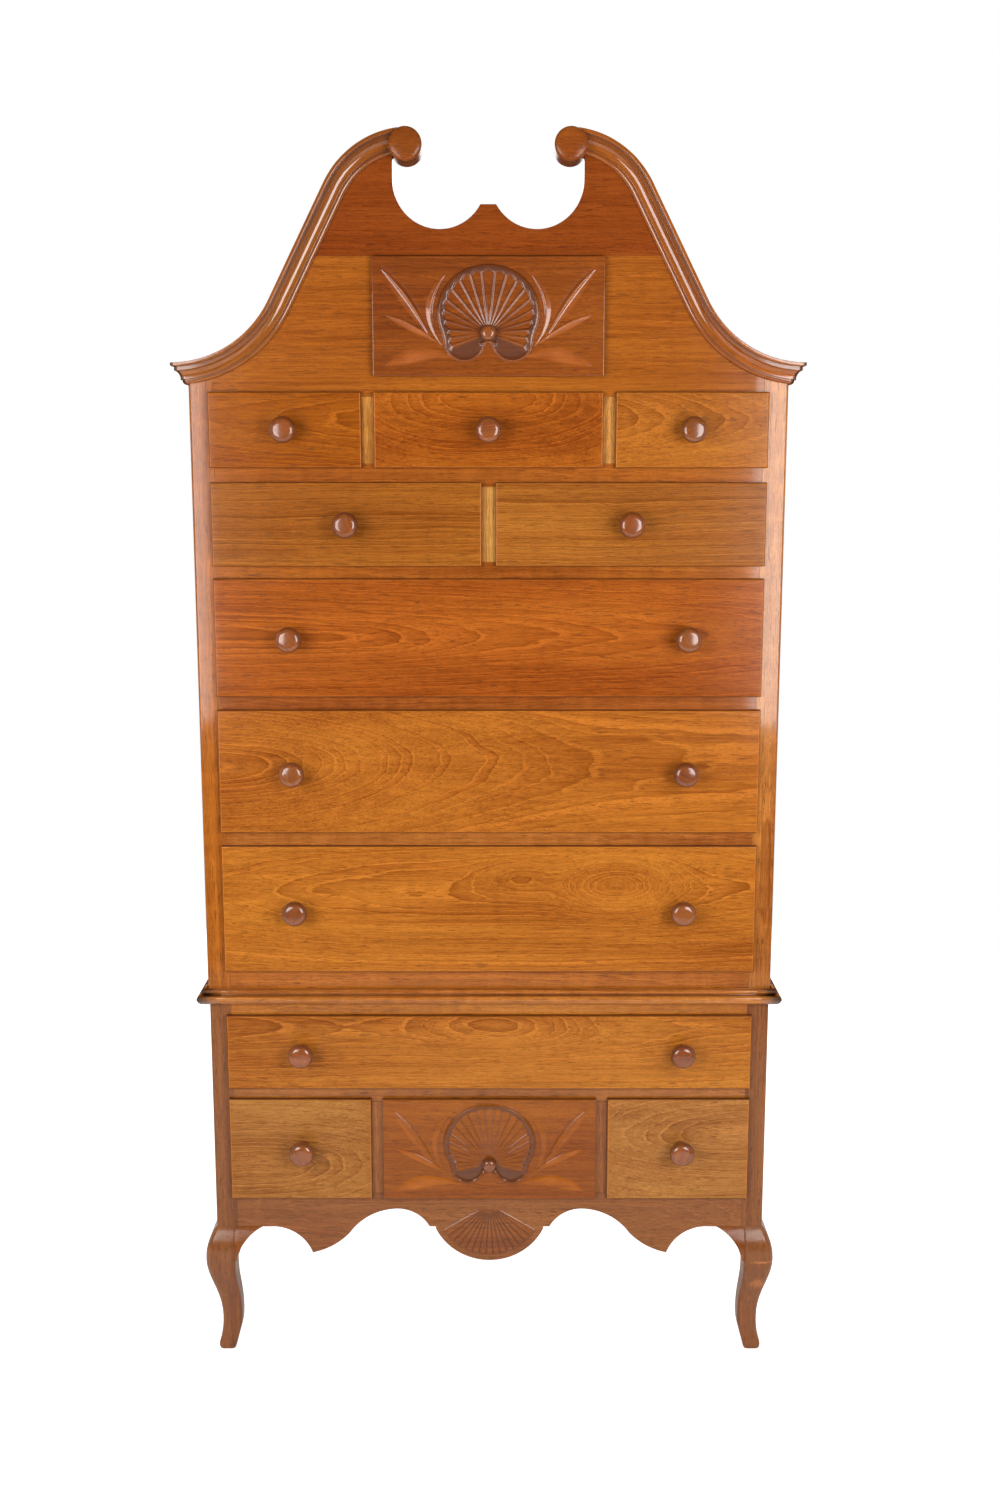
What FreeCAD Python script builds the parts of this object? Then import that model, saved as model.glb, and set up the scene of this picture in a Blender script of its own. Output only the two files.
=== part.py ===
import FreeCAD, Part

# A highboy: a tall chest of drawers on a low case with cabriole legs, crowned by a scrolled pediment.
# Millimetres, +Z up. The front faces -Y and +X is on the right hand of someone who faces it.
# The origin is on the floor, under the centre of the whole object's bounding box.

import math
import os

# ---------------------------------------------------------------- driving dimensions

# Cases
lower_width = 956.0
upper_overhang = 2.0  # of the upper case beyond the lower one, on each side
case_depth = 500.0
post_size = 36.5  # of the lower case's square corner posts, which the upper stiles line up with
frame_thickness = 22.0  # stiles, rails, dividers, apron and pediment planks
side_thickness = 20.0
board_thickness = 18.0  # top and bottom boards of the upper case
back_thickness = 10.0
back_board_gap = 0.8
upper_back_board_count = 6
lower_back_board_count = 3
stile_corner_radius = 5.0
post_corner_radius = 5.0

# Heights, from the floor up
leg_height = 232.0
apron_reveal = 56.0  # from the leg joint to the lowest drawer fronts
carved_row_height = 182.5
lower_rail_reveal = 19.0
lower_wide_height = 131.5
lower_top_reveal = 18.5
waist_height = 29.5
upper_base_reveal = 30.0
fifth_row_height = 219.0
rail_reveal_4_5 = 23.0
fourth_row_height = 207.0
rail_reveal_3_4 = 22.0
third_row_height = 194.0
rail_reveal_2_3 = 20.0
second_row_height = 134.5
rail_reveal_1_2 = 23.0
top_row_height = 119.5
pediment_reveal = 24.5
pediment_front_height = 184.0
cornice_rise = 11.0  # from the top row's fronts to the underside of the cornice

# Drawer fronts, which have a lip all round that laps over the frame
middle_front_width = 368.0
divider_reveal = 19.5
centre_divider_reveal = 22.5
lip_overlap = 7.0
lip_thickness = 9.0
lip_edge_radius = 2.5
front_body_depth = 13.0
front_seat_gap = 0.4
front_clearance = 1.5
pediment_seam_gap = 1.5

# Drawer boxes
running_gap = 0.3
drawer_side_thickness = 11.0
drawer_side_drop = 5.0
drawer_back_drop = 9.0
drawer_bottom_thickness = 6.0
drawer_bottom_lift = 9.0
groove_depth = 5.0
drawer_rear_clearance = 12.0
pediment_drawer_length = 300.0

# Bearers that carry the drawers, and the guides beside them
bearer_reach = 16.5
guide_height = 14.0
bottom_bearer_height = 20.0

# Turned knobs
knob_radius = 21.2
knob_projection = 37.6
knob_rim_radius = 9.0
knob_neck_radius = 8.5
knob_neck_reach = 9.5
knob_foot_radius = 12.5
foot_rim = 1.2
pull_rim_upper = math.radians(60)  # where the head's rim gives way to its domed face
pull_rim_lower = math.radians(50)  # and to its underside
knob_tenon_radius = 5.0
knob_tenon_length = 12.0
knob_tenon_clearance = 0.2
knob_inset = 124.0  # of a wide front's two knobs from its ends
lower_knob_shift = 4.5  # of the lower case's knobs, to the right of where they would be even
lower_knob_lift = 3.5  # and above the middle of their fronts
boss_radius = 12.0
boss_projection = 16.0
boss_rim_radius = 6.0
boss_neck_radius = 7.2
boss_neck_reach = 2.6
boss_foot_radius = 8.8
boss_height_share = 0.36  # of a carved front's height
neck_bow = 0.12  # of a neck's two hollows, as a share of the neck's reach and radius

# Waist moulding, fixed to the lower case and standing up round the foot of the upper case
waist_projection = 17.5
waist_lip_clearance = 1.5  # between its upstanding lip and the upper case
waist_seat_height = 12.0

# Cornice and pediment mouldings
cornice_height = 34.0
cornice_projection = 23.0
rake_low_radius = 211.0
rake_top_radius = 118.0
pediment_rise = 389.0  # from the cornice's lower edge to the top of the scrolls
plank_top_inset = 2.0
stile_hidden_height = 18.0
rosette_radius = 26.0
rosette_spacing = 256.8  # between the centres of the two rosettes
rosette_projection = 32.0
rosette_length = 60.0
rosette_edge_radius = 4.0
rosette_inset = 7.5  # of its centre, towards the side, from where the raking moulding levels out
rosette_moulding_share = 0.25  # of the rosette's radius, from its centre to where the moulding stops
scroll_edge_inset = 4.2  # of the scrolls' upright edges from the rosettes' outer sides
scroll_circle_lift = 36.2  # of the round cut-outs' centres above the little plinth
plinth_width = 25.0
plinth_height = 78.0  # of the little plinth's top above the plank seam
housing_thickness = 12.0
cut_overshoot = 1.0  # of a cutting solid past the face that it trims

# Apron
fan_half_width = 94.0
fan_drop = 63.5
fan_edge_drop = 4.0
apron_step = 11.0
arch_crown_reach = 57.0  # from the step beside the fan to the crown of the arch
arch_rise = 33.3
arch_bow = 0.16  # a bow is an arc's rise over its chord, as a share of the arc's width
arch_tail_bow = 0.135
inflection_reach = 65.5  # from the pointed drop inwards to where the arch turns hollow
inflection_drop = 12.0
cusp_reach = 74.5  # from the shoulder at the knee inwards to the pointed drop
cusp_drop = 49.0
cusp_bow = 0.09
knee_arch_bow = 0.20
knee_shoulder = 12.5  # of level edge between the knee bracket and the shaped edge
side_cusp_reach = 53.0
side_cusp_drop = 30.0
side_cusp_bow = 0.16
side_arch_rise = 8.0
side_shoulder = 4.5

# Legs
knee_bulge = 19.0
leg_corner_radius = 6.5
knee_softness = 1.1  # of further rounding on the knee's outer corner, as a share of the corner radius
bracket_width = 44.0
bracket_height = 56.0
bracket_thickness = 20.0
bracket_lap = 4.0  # of the bracket over the post's inner face, before it is cut to the leg
bracket_bow = 0.22

# ---------------------------------------------------------------- derived places

lower_half = lower_width / 2
upper_half = lower_half + upper_overhang
opening_half = lower_half - post_size
knob_reach = front_seat_gap + lip_thickness + knob_projection
face_y = -(case_depth - knob_reach) / 2
frame_rear_y = face_y + frame_thickness
back_y = face_y + case_depth
lip_rear_y = face_y - front_seat_gap
lip_front_y = lip_rear_y - lip_thickness
front_rear_y = face_y + front_body_depth
back_front_y = back_y - back_thickness

carved_row_z = leg_height + apron_reveal
lower_wide_z = carved_row_z + carved_row_height + lower_rail_reveal
waist_z = lower_wide_z + lower_wide_height + lower_top_reveal
lower_top_z = waist_z + waist_seat_height
waist_top_z = waist_z + waist_height
fifth_row_z = waist_top_z + upper_base_reveal
fourth_row_z = fifth_row_z + fifth_row_height + rail_reveal_4_5
third_row_z = fourth_row_z + fourth_row_height + rail_reveal_3_4
second_row_z = third_row_z + third_row_height + rail_reveal_2_3
top_row_z = second_row_z + second_row_height + rail_reveal_1_2
top_row_top_z = top_row_z + top_row_height
pediment_z = top_row_top_z + pediment_reveal
seam_z = pediment_z + pediment_front_height + pediment_seam_gap
pediment_opening_z = pediment_z + lip_overlap
cornice_z = top_row_top_z + cornice_rise
cornice_top_z = cornice_z + cornice_height
stile_top_z = cornice_z + stile_hidden_height
upper_floor_z = lower_top_z + board_thickness
upper_ceiling_z = pediment_opening_z - board_thickness
frame_head_z = top_row_top_z - lip_overlap

middle_half = middle_front_width / 2
side_front_inner = middle_half + divider_reveal
divider_inner = middle_half - lip_overlap
divider_outer = side_front_inner + lip_overlap
centre_divider_half = centre_divider_reveal / 2 + lip_overlap
centre_front_edge = centre_divider_reveal / 2
front_edge = opening_half + lip_overlap
waist_lip_inset = upper_overhang + waist_lip_clearance

rake_tip_x = upper_half + cornice_projection
scroll_top_z = cornice_z + pediment_rise
rosette_x = rosette_spacing / 2
rosette_z = scroll_top_z - rosette_radius
rake_low_centre = (rake_tip_x, cornice_z + rake_low_radius)
rake_top_centre = (rosette_x - rosette_inset, scroll_top_z - cornice_height - rake_top_radius)

# the straight run that touches both arcs, and the angle that each arc turns through to meet it
rake_across = rake_low_centre[0] - rake_top_centre[0]
rake_up = rake_top_centre[1] - rake_low_centre[1]
rake_radii = rake_low_radius + rake_top_radius
rake_run = math.sqrt(rake_across ** 2 + rake_up ** 2 - rake_radii ** 2)
rake_turn = math.atan2(
    rake_radii * rake_across + rake_run * rake_up, rake_run * rake_across - rake_radii * rake_up
)
rake_direction = (-math.cos(rake_turn), math.sin(rake_turn))

# each round cut-out meets a corner of the little plinth and runs into a scroll's upright edge
scroll_edge_x = rosette_x + rosette_radius - scroll_edge_inset
scroll_span = scroll_edge_x - plinth_width / 2
scroll_circle_radius = (scroll_span ** 2 + scroll_circle_lift ** 2) / (2 * scroll_span)
scroll_circle_x = scroll_edge_x - scroll_circle_radius
scroll_circle_z = seam_z + plinth_height + scroll_circle_lift

# the apron's drop is an arc over a chord between the fan's two lower corners
fan_rise = fan_drop - fan_edge_drop
fan_radius = (fan_half_width ** 2 + fan_rise ** 2) / (2 * fan_rise)
arch_x = fan_half_width + apron_step + arch_crown_reach
knee_arch_x = opening_half - bracket_width - knee_shoulder
cusp_x = knee_arch_x - cusp_reach
inflection_x = cusp_x - inflection_reach
side_half_span = case_depth / 2 - post_size
side_shoulder_x = side_half_span - bracket_width - side_shoulder
side_cusp_x = side_shoulder_x - side_cusp_reach

nodes = {}


# ---------------------------------------------------------------- shape helpers

def vector(x, y, z):
    return FreeCAD.Vector(x, y, z)


def block(x0, x1, y0, y1, z0, z1):
    """A rectangular board between two corners."""
    return Part.makeBox(x1 - x0, y1 - y0, z1 - z0, vector(x0, y0, z0))


def mirrored_x(shape):
    return shape.mirror(vector(0, 0, 0), vector(1, 0, 0))


def pair(shape):
    """A piece on the right side and its mirror image on the left."""
    return [mirrored_x(shape), shape]


def fused(shapes):
    return shapes[0].multiFuse(shapes[1:]).removeSplitter()


def outline(start, steps, place):
    """A closed wire through flat points. A step is an end point, or an end point and a point on its arc."""
    edges = []
    here = start
    for end, via in steps:
        if via is None:
            edges.append(Part.LineSegment(place(*here), place(*end)).toShape())
        else:
            edges.append(Part.Arc(place(*here), place(*via), place(*end)).toShape())
        here = end
    return Part.Wire(edges)


def on_front(x, z):
    return vector(x, face_y, z)


def arc_via(start, end, sagitta):
    """The middle of an arc that bows to the left of the way from start to end by sagitta."""
    chord = math.hypot(end[0] - start[0], end[1] - start[1])
    normal = (-(end[1] - start[1]) / chord, (end[0] - start[0]) / chord)
    return (
        (start[0] + end[0]) / 2 + normal[0] * sagitta,
        (start[1] + end[1]) / 2 + normal[1] * sagitta,
    )


def plan_prism(points, z0, z1):
    """An upright prism over a polygon in plan."""
    wire = Part.makePolygon([vector(x, y, z0) for x, y in points + points[:1]])
    return Part.Face(wire).extrude(vector(0, 0, z1 - z0))


def turned(profile, axis_x, front_y, axis_z):
    """A turning about a line along Y. The profile gives (radius, distance in front of front_y, arc point)."""
    def place(radius, reach):
        return vector(axis_x + radius, front_y - reach, axis_z)

    wire = outline(profile[0][0], profile[1:], place)
    return Part.Face(wire).revolve(vector(axis_x, front_y, axis_z), vector(0, 1, 0), 360)


def add(name, shapes):
    """Keep a node as one solid or as a group of separate solids."""
    nodes[name] = shapes[0] if len(shapes) == 1 else Part.makeCompound(shapes)


# ---------------------------------------------------------------- drawers

class Opening:
    """The hole in the face frame that a drawer fills, with the front that laps over it."""

    def __init__(self, name, x0, x1, z0, height, top_lip=True):
        self.name = name
        self.lip = (x0, x1, z0, z0 + height)
        self.x0 = x0 + lip_overlap
        self.x1 = x1 - lip_overlap
        self.z0 = z0 + lip_overlap
        self.z1 = z0 + height - lip_overlap if top_lip else z0 + height + pediment_seam_gap
        self.box_x0 = self.x0 + front_clearance
        self.box_x1 = self.x1 - front_clearance
        self.box_z0 = self.z0 + running_gap
        self.box_z1 = self.z1 - drawer_side_drop
        self.body_top = self.z1 - front_clearance
        self.centre_x = (x0 + x1) / 2
        self.centre_z = z0 + height / 2


def drawer_front(opening, fixings, fixing_z):
    """The lip and body in one board, grooved for the bottom and bored for the knobs."""
    x0, x1, z0, z1 = opening.lip
    lip = block(x0, x1, lip_front_y, lip_rear_y, z0, z1)
    rim = [edge for edge in lip.Edges if all(abs(v.Y - lip_front_y) < 0.001 for v in edge.Vertexes)]
    lip = lip.makeFillet(lip_edge_radius, rim)
    body = block(opening.box_x0, opening.box_x1, lip_rear_y, front_rear_y, opening.box_z0, opening.body_top)
    groove_z = opening.box_z0 + drawer_bottom_lift
    groove = block(
        opening.box_x0 + drawer_side_thickness - groove_depth,
        opening.box_x1 - drawer_side_thickness + groove_depth,
        front_rear_y - groove_depth, front_rear_y,
        groove_z, groove_z + drawer_bottom_thickness,
    )
    front = fused([lip, body]).cut(groove)
    for x in fixings:
        hole = Part.makeCylinder(
            knob_tenon_radius + knob_tenon_clearance, knob_tenon_length + knob_tenon_clearance,
            vector(x, lip_front_y, fixing_z), vector(0, 1, 0),
        )
        front = front.cut(hole)
    return front


def drawer_box(opening, length):
    """Two grooved sides, a back and a bottom that slides in from behind."""
    rear_y = front_rear_y + length
    inner_x0 = opening.box_x0 + drawer_side_thickness
    inner_x1 = opening.box_x1 - drawer_side_thickness
    bottom_z0 = opening.box_z0 + drawer_bottom_lift
    bottom_z1 = bottom_z0 + drawer_bottom_thickness
    left = block(opening.box_x0, inner_x0, front_rear_y, rear_y, opening.box_z0, opening.box_z1)
    right = block(inner_x1, opening.box_x1, front_rear_y, rear_y, opening.box_z0, opening.box_z1)
    bottom = block(
        inner_x0 - groove_depth, inner_x1 + groove_depth,
        front_rear_y - groove_depth, rear_y,
        bottom_z0, bottom_z1,
    )
    back = block(
        inner_x0, inner_x1, rear_y - drawer_side_thickness, rear_y,
        bottom_z1, opening.box_z1 - drawer_back_drop,
    )
    return [left.cut(bottom), right.cut(bottom), back, bottom]


def turned_pull(x, z, radius, projection, rim, foot, neck, neck_reach):
    """A pull turned with its tenon: foot, neck, and a head with a round rim and a domed face."""
    rim_centre = radius - rim
    shoulder = rim_centre + rim * math.cos(pull_rim_upper)
    dome = shoulder / math.cos(pull_rim_upper)
    dome_centre = projection - dome
    rim_y = dome_centre + rim_centre * math.tan(pull_rim_upper)
    half_cap = (math.pi / 2 - pull_rim_upper) / 2
    under = (rim_centre + rim * math.cos(pull_rim_lower), rim_y - rim * math.sin(pull_rim_lower))
    profile = [
        ((0, -knob_tenon_length), None),
        ((knob_tenon_radius, -knob_tenon_length), None),
        ((knob_tenon_radius, 0), None),
        ((foot, 0), None),
        ((foot, foot_rim), None),
        ((neck, neck_reach), arc_via((foot, foot_rim), (neck, neck_reach), -neck_bow * neck_reach)),
        (under, arc_via((neck, neck_reach), under, neck_bow * neck)),
        ((shoulder, rim_y + rim * math.sin(pull_rim_upper)), (radius, rim_y)),
        ((0, projection), (dome * math.sin(half_cap), dome_centre + dome * math.cos(half_cap))),
        ((0, -knob_tenon_length), None),
    ]
    return turned(profile, x, lip_front_y, z)


def knob(x, z):
    return turned_pull(
        x, z, knob_radius, knob_projection, knob_rim_radius,
        knob_foot_radius, knob_neck_radius, knob_neck_reach,
    )


def boss(x, z):
    """The small button at the hub of a carved shell."""
    return turned_pull(
        x, z, boss_radius, boss_projection, boss_rim_radius,
        boss_foot_radius, boss_neck_radius, boss_neck_reach,
    )


def add_drawer(opening, length, knob_xs, carved=False):
    fixing_z = opening.centre_z
    if carved:
        fixing_z = opening.lip[2] + boss_height_share * (opening.lip[3] - opening.lip[2])
    elif opening.name.startswith("lower_"):
        fixing_z += lower_knob_lift
        knob_xs = [x + lower_knob_shift for x in knob_xs]
    add(opening.name + "_front", [drawer_front(opening, knob_xs, fixing_z)])
    add(opening.name + "_box", drawer_box(opening, length))
    if carved:
        add(opening.name + "_boss", [boss(x, fixing_z) for x in knob_xs])
    else:
        suffix = "_knob" if len(knob_xs) == 1 else "_knobs"
        add(opening.name + suffix, [knob(x, fixing_z) for x in knob_xs])


def three_openings(row, z, height, middle_name):
    return [
        Opening(row + "_left_drawer", -front_edge, -side_front_inner, z, height),
        Opening(middle_name, -middle_half, middle_half, z, height),
        Opening(row + "_right_drawer", side_front_inner, front_edge, z, height),
    ]


def all_drawers():
    length = back_front_y - drawer_rear_clearance - front_rear_y
    wide_knobs = [-(front_edge - knob_inset), front_edge - knob_inset]
    carved = Opening("pediment_drawer", -middle_half, middle_half, pediment_z, pediment_front_height, False)
    add_drawer(carved, pediment_drawer_length, [0.0], carved=True)
    for opening in three_openings("top", top_row_z, top_row_height, "top_middle_drawer"):
        add_drawer(opening, length, [opening.centre_x])
    halves = [
        Opening("second_left_drawer", -front_edge, -centre_front_edge, second_row_z, second_row_height),
        Opening("second_right_drawer", centre_front_edge, front_edge, second_row_z, second_row_height),
    ]
    for opening in halves:
        add_drawer(opening, length, [opening.centre_x])
    wide_rows = [
        ("third_drawer", third_row_z, third_row_height),
        ("fourth_drawer", fourth_row_z, fourth_row_height),
        ("fifth_drawer", fifth_row_z, fifth_row_height),
        ("lower_wide_drawer", lower_wide_z, lower_wide_height),
    ]
    for name, z, height in wide_rows:
        add_drawer(Opening(name, -front_edge, front_edge, z, height), length, wide_knobs)
    for opening in three_openings("lower", carved_row_z, carved_row_height, "lower_carved_drawer"):
        add_drawer(opening, length, [opening.centre_x], carved=opening.name == "lower_carved_drawer")


# ---------------------------------------------------------------- case parts shared by both cases

def rounded_upright(x0, x1, y0, y1, z0, z1, radius):
    """A post or stile on the right side whose outer front arris is rounded."""
    post = block(x0, x1, y0, y1, z0, z1)
    arris = [
        edge for edge in post.Edges
        if all(abs(v.X - x1) < 0.001 and abs(v.Y - y0) < 0.001 for v in edge.Vertexes)
    ]
    return post.makeFillet(radius, arris)


def end_bearers(z0, z1, upright_rear_y, side_inner, rear_y):
    """The bearer under a drawer's side and the guide that fixes it to the case side, both sides."""
    bearer = block(opening_half - bearer_reach, opening_half, frame_rear_y, rear_y, z0, z1)
    guide = block(opening_half, side_inner, upright_rear_y[0], upright_rear_y[1], z0, z1 + guide_height)
    return pair(bearer) + pair(guide)


def middle_bearer(x0, x1, z0, z1, rear_y, with_guide=True):
    """A wide bearer behind a divider, shared by the drawers on both sides of it."""
    bearer = block(x0 - bearer_reach, x1 + bearer_reach, frame_rear_y, rear_y, z0, z1)
    if not with_guide:
        return [bearer]
    return [bearer, block(x0, x1, frame_rear_y, rear_y, z1, z1 + guide_height)]


def back_boards(half, z0, z1, count, upright):
    """Boards side by side across the back, with a small gap between neighbours."""
    boards = []
    span = 2 * half if upright else z1 - z0
    pitch = (span + back_board_gap) / count
    for i in range(count):
        low = i * pitch
        high = low + pitch - back_board_gap
        if upright:
            boards.append(block(-half + low, -half + high, back_front_y, back_y, z0, z1))
        else:
            boards.append(block(-half, half, back_front_y, back_y, z0 + low, z0 + high))
    return boards


# ---------------------------------------------------------------- upper case

upper_rails = {
    # name of the level: its lower and upper edge, which the drawers' lips lap over
    "base": (lower_top_z, fifth_row_z + lip_overlap),
    "4_5": (fifth_row_z + fifth_row_height - lip_overlap, fourth_row_z + lip_overlap),
    "3_4": (fourth_row_z + fourth_row_height - lip_overlap, third_row_z + lip_overlap),
    "2_3": (third_row_z + third_row_height - lip_overlap, second_row_z + lip_overlap),
    "1_2": (second_row_z + second_row_height - lip_overlap, top_row_z + lip_overlap),
}


def upper_case():
    side_inner = upper_half - side_thickness
    side = block(side_inner, upper_half, frame_rear_y, back_y, lower_top_z, cornice_top_z)
    add("upper_sides", pair(side))
    stile = rounded_upright(
        opening_half, upper_half, face_y, frame_rear_y, lower_top_z, stile_top_z, stile_corner_radius
    )
    add("upper_stiles", pair(stile))

    rails = [
        block(-opening_half, opening_half, face_y, frame_rear_y, z0, z1) for z0, z1 in upper_rails.values()
    ]
    top_divider = block(
        divider_inner, divider_outer, face_y, frame_rear_y, upper_rails["1_2"][1], frame_head_z
    )
    centre_divider = block(
        -centre_divider_half, centre_divider_half, face_y, frame_rear_y,
        upper_rails["2_3"][1], upper_rails["1_2"][0],
    )
    add("upper_rails_and_dividers", rails + pair(top_divider) + [centre_divider])

    ceiling = block(
        -side_inner, side_inner, frame_rear_y, back_front_y, upper_ceiling_z, pediment_opening_z
    )
    add("upper_top_board", [ceiling])
    floor = block(-side_inner, side_inner, frame_rear_y, back_front_y, lower_top_z, upper_floor_z)
    add("upper_bottom_board", [floor])
    boards = back_boards(side_inner, lower_top_z, cornice_top_z, upper_back_board_count, True)
    add("upper_back_boards", boards)

    bearers = []
    for level, (z0, z1) in upper_rails.items():
        low = upper_floor_z if level == "base" else z0
        bearers += end_bearers(low, z1, (frame_rear_y, back_front_y), side_inner, back_front_y)
        if level in ("2_3", "1_2"):
            bearers += middle_bearer(
                -centre_divider_half, centre_divider_half, z0, z1, back_front_y, level == "2_3"
            )
        if level == "1_2":
            right = middle_bearer(divider_inner, divider_outer, z0, z1, back_front_y)
            bearers += right + [mirrored_x(shape) for shape in right]
    kicker = block(
        opening_half - bearer_reach, side_inner, frame_rear_y, back_front_y, frame_head_z, upper_ceiling_z
    )
    middle_kicker = block(
        divider_inner - bearer_reach, divider_outer + bearer_reach,
        frame_rear_y, back_front_y, frame_head_z, upper_ceiling_z,
    )
    add("upper_drawer_bearers", bearers + pair(kicker) + pair(middle_kicker))


# ---------------------------------------------------------------- mouldings

def cornice_profile(place):
    """Section of the cornice, from its lower edge on the wood: (up the face, out from the face)."""
    h = cornice_height
    p = cornice_projection
    steps = [
        ((0, 0.09 * p), None),
        ((0.21 * h, 0.30 * p), (0.065 * h, 0.245 * p)),
        ((0.21 * h, 0.41 * p), None),
        ((0.28 * h, 0.41 * p), None),
        ((0.63 * h, 0.72 * p), (0.45 * h, 0.475 * p)),
        ((0.63 * h, 0.78 * p), None),
        ((0.82 * h, 0.78 * p), None),
        ((0.82 * h, 0.89 * p), None),
        ((0.91 * h, p), (0.84 * h, 0.97 * p)),
        ((h, p), None),
        ((h, 0), None),
        ((0, 0), None),
    ]
    return Part.Face(outline((0, 0), steps, place))


def waist_profile(place):
    """Section of the waist moulding: (up, out from the lower case). A nose, a groove and a small bead."""
    h = waist_height
    p = waist_projection
    inset = waist_lip_inset
    steps = [
        ((0, 0.17 * p), None),
        ((0.05 * h, 0.17 * p), None),
        ((0.38 * h, p), (0.13 * h, 0.70 * p)),
        ((0.54 * h, p), (0.46 * h, 1.03 * p)),
        ((0.63 * h, 0.80 * p), (0.60 * h, 0.93 * p)),
        ((0.63 * h, 0.52 * p), None),
        ((0.69 * h, 0.47 * p), None),
        ((0.97 * h, 0.47 * p), (0.83 * h, 0.66 * p)),
        ((h, 0.42 * p), None),
        ((h, inset), None),
        ((waist_seat_height, inset), None),
        ((waist_seat_height, 0), None),
        ((0, 0), None),
    ]
    return Part.Face(outline((0, 0), steps, place))


def front_trapezoid(half, reach, z0, z1):
    """The part of space in front of a case between the mitre planes at its two front corners."""
    points = [
        (-half, face_y), (half, face_y),
        (half + reach, face_y - reach), (-half - reach, face_y - reach),
    ]
    return plan_prism(points, z0, z1)


def side_trapezoid(half, reach, z0, z1):
    """The part of space on the right of a case behind the mitre plane at its front corner."""
    points = [(half, face_y), (half + reach, face_y - reach), (half + reach, back_y), (half, back_y)]
    return plan_prism(points, z0, z1)


def waist_moulding():
    reach = 2 * waist_projection

    def front_place(up, out):
        return vector(-lower_half - reach, face_y - out, waist_z + up)

    def side_place(up, out):
        return vector(lower_half + out, face_y - reach, waist_z + up)

    front = waist_profile(front_place).extrude(vector(2 * (lower_half + reach), 0, 0))
    front = front.common(front_trapezoid(lower_half, reach, waist_z, waist_top_z))
    side = waist_profile(side_place).extrude(vector(0, case_depth + reach, 0))
    side = side.common(side_trapezoid(lower_half, reach, waist_z, waist_top_z))
    add("waist_moulding", [front] + pair(side))


def cornice_return():
    """The level moulding along the right side, mitred to the raking one."""
    reach = 2 * cornice_projection

    def side_place(up, out):
        return vector(upper_half + out, face_y - reach, cornice_z + up)

    side = cornice_profile(side_place).extrude(vector(0, case_depth + reach, 0))
    return side.common(side_trapezoid(upper_half, reach, cornice_z, cornice_top_z))


def rake_points(up):
    """The right raking curve at a height up the moulding's face: its ends and a point on each arc."""
    low = rake_low_radius - up
    top = rake_top_radius + up
    (lx, lz), (tx, tz) = rake_low_centre, rake_top_centre
    half = rake_turn / 2
    return [
        (lx, lz - low),
        (lx - low * math.sin(half), lz - low * math.cos(half)),
        (lx - low * math.sin(rake_turn), lz - low * math.cos(rake_turn)),
        (tx + top * math.sin(rake_turn), tz + top * math.cos(rake_turn)),
        (tx + top * math.sin(half), tz + top * math.cos(half)),
        (tx, tz + top),
    ]


def rosette_cylinder():
    return Part.makeCylinder(
        rosette_radius, rosette_length,
        vector(rosette_x, face_y - rosette_projection, rosette_z), vector(0, 1, 0),
    )


def raking_moulding():
    """The cornice section swept up a concave arc, a straight run and a convex arc to the rosette."""
    def tip_place(up, out):
        return vector(rake_tip_x, face_y - out, cornice_z + up)

    y_axis = vector(0, 1, 0)
    low_centre = on_front(*rake_low_centre)
    top_centre = on_front(*rake_top_centre)
    run = vector(rake_direction[0] * rake_run, 0, rake_direction[1] * rake_run)
    section = cornice_profile(tip_place)
    rake_angle = math.degrees(rake_turn)
    low_arc = section.revolve(low_centre, y_axis, rake_angle)
    turned_section = section.copy()
    turned_section.rotate(low_centre, y_axis, rake_angle)
    straight = turned_section.extrude(run)
    upper_section = turned_section.copy()
    upper_section.translate(run)
    top_arc = upper_section.revolve(top_centre, y_axis, -rake_angle)
    moulding = fused([low_arc, straight, top_arc])

    reach = 2 * cornice_projection
    beyond_mitre = plan_prism(
        [
            (upper_half, face_y + cut_overshoot), (upper_half, face_y),
            (upper_half + reach, face_y - reach), (upper_half + reach, face_y + cut_overshoot),
        ],
        cornice_z - reach, cornice_top_z + reach,
    )
    past_rosette = block(
        0, rosette_x + rosette_radius * rosette_moulding_share,
        face_y - reach, face_y + cut_overshoot, cornice_z, scroll_top_z + cut_overshoot,
    )
    return moulding.cut(beyond_mitre).cut(past_rosette).cut(rosette_cylinder())


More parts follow.
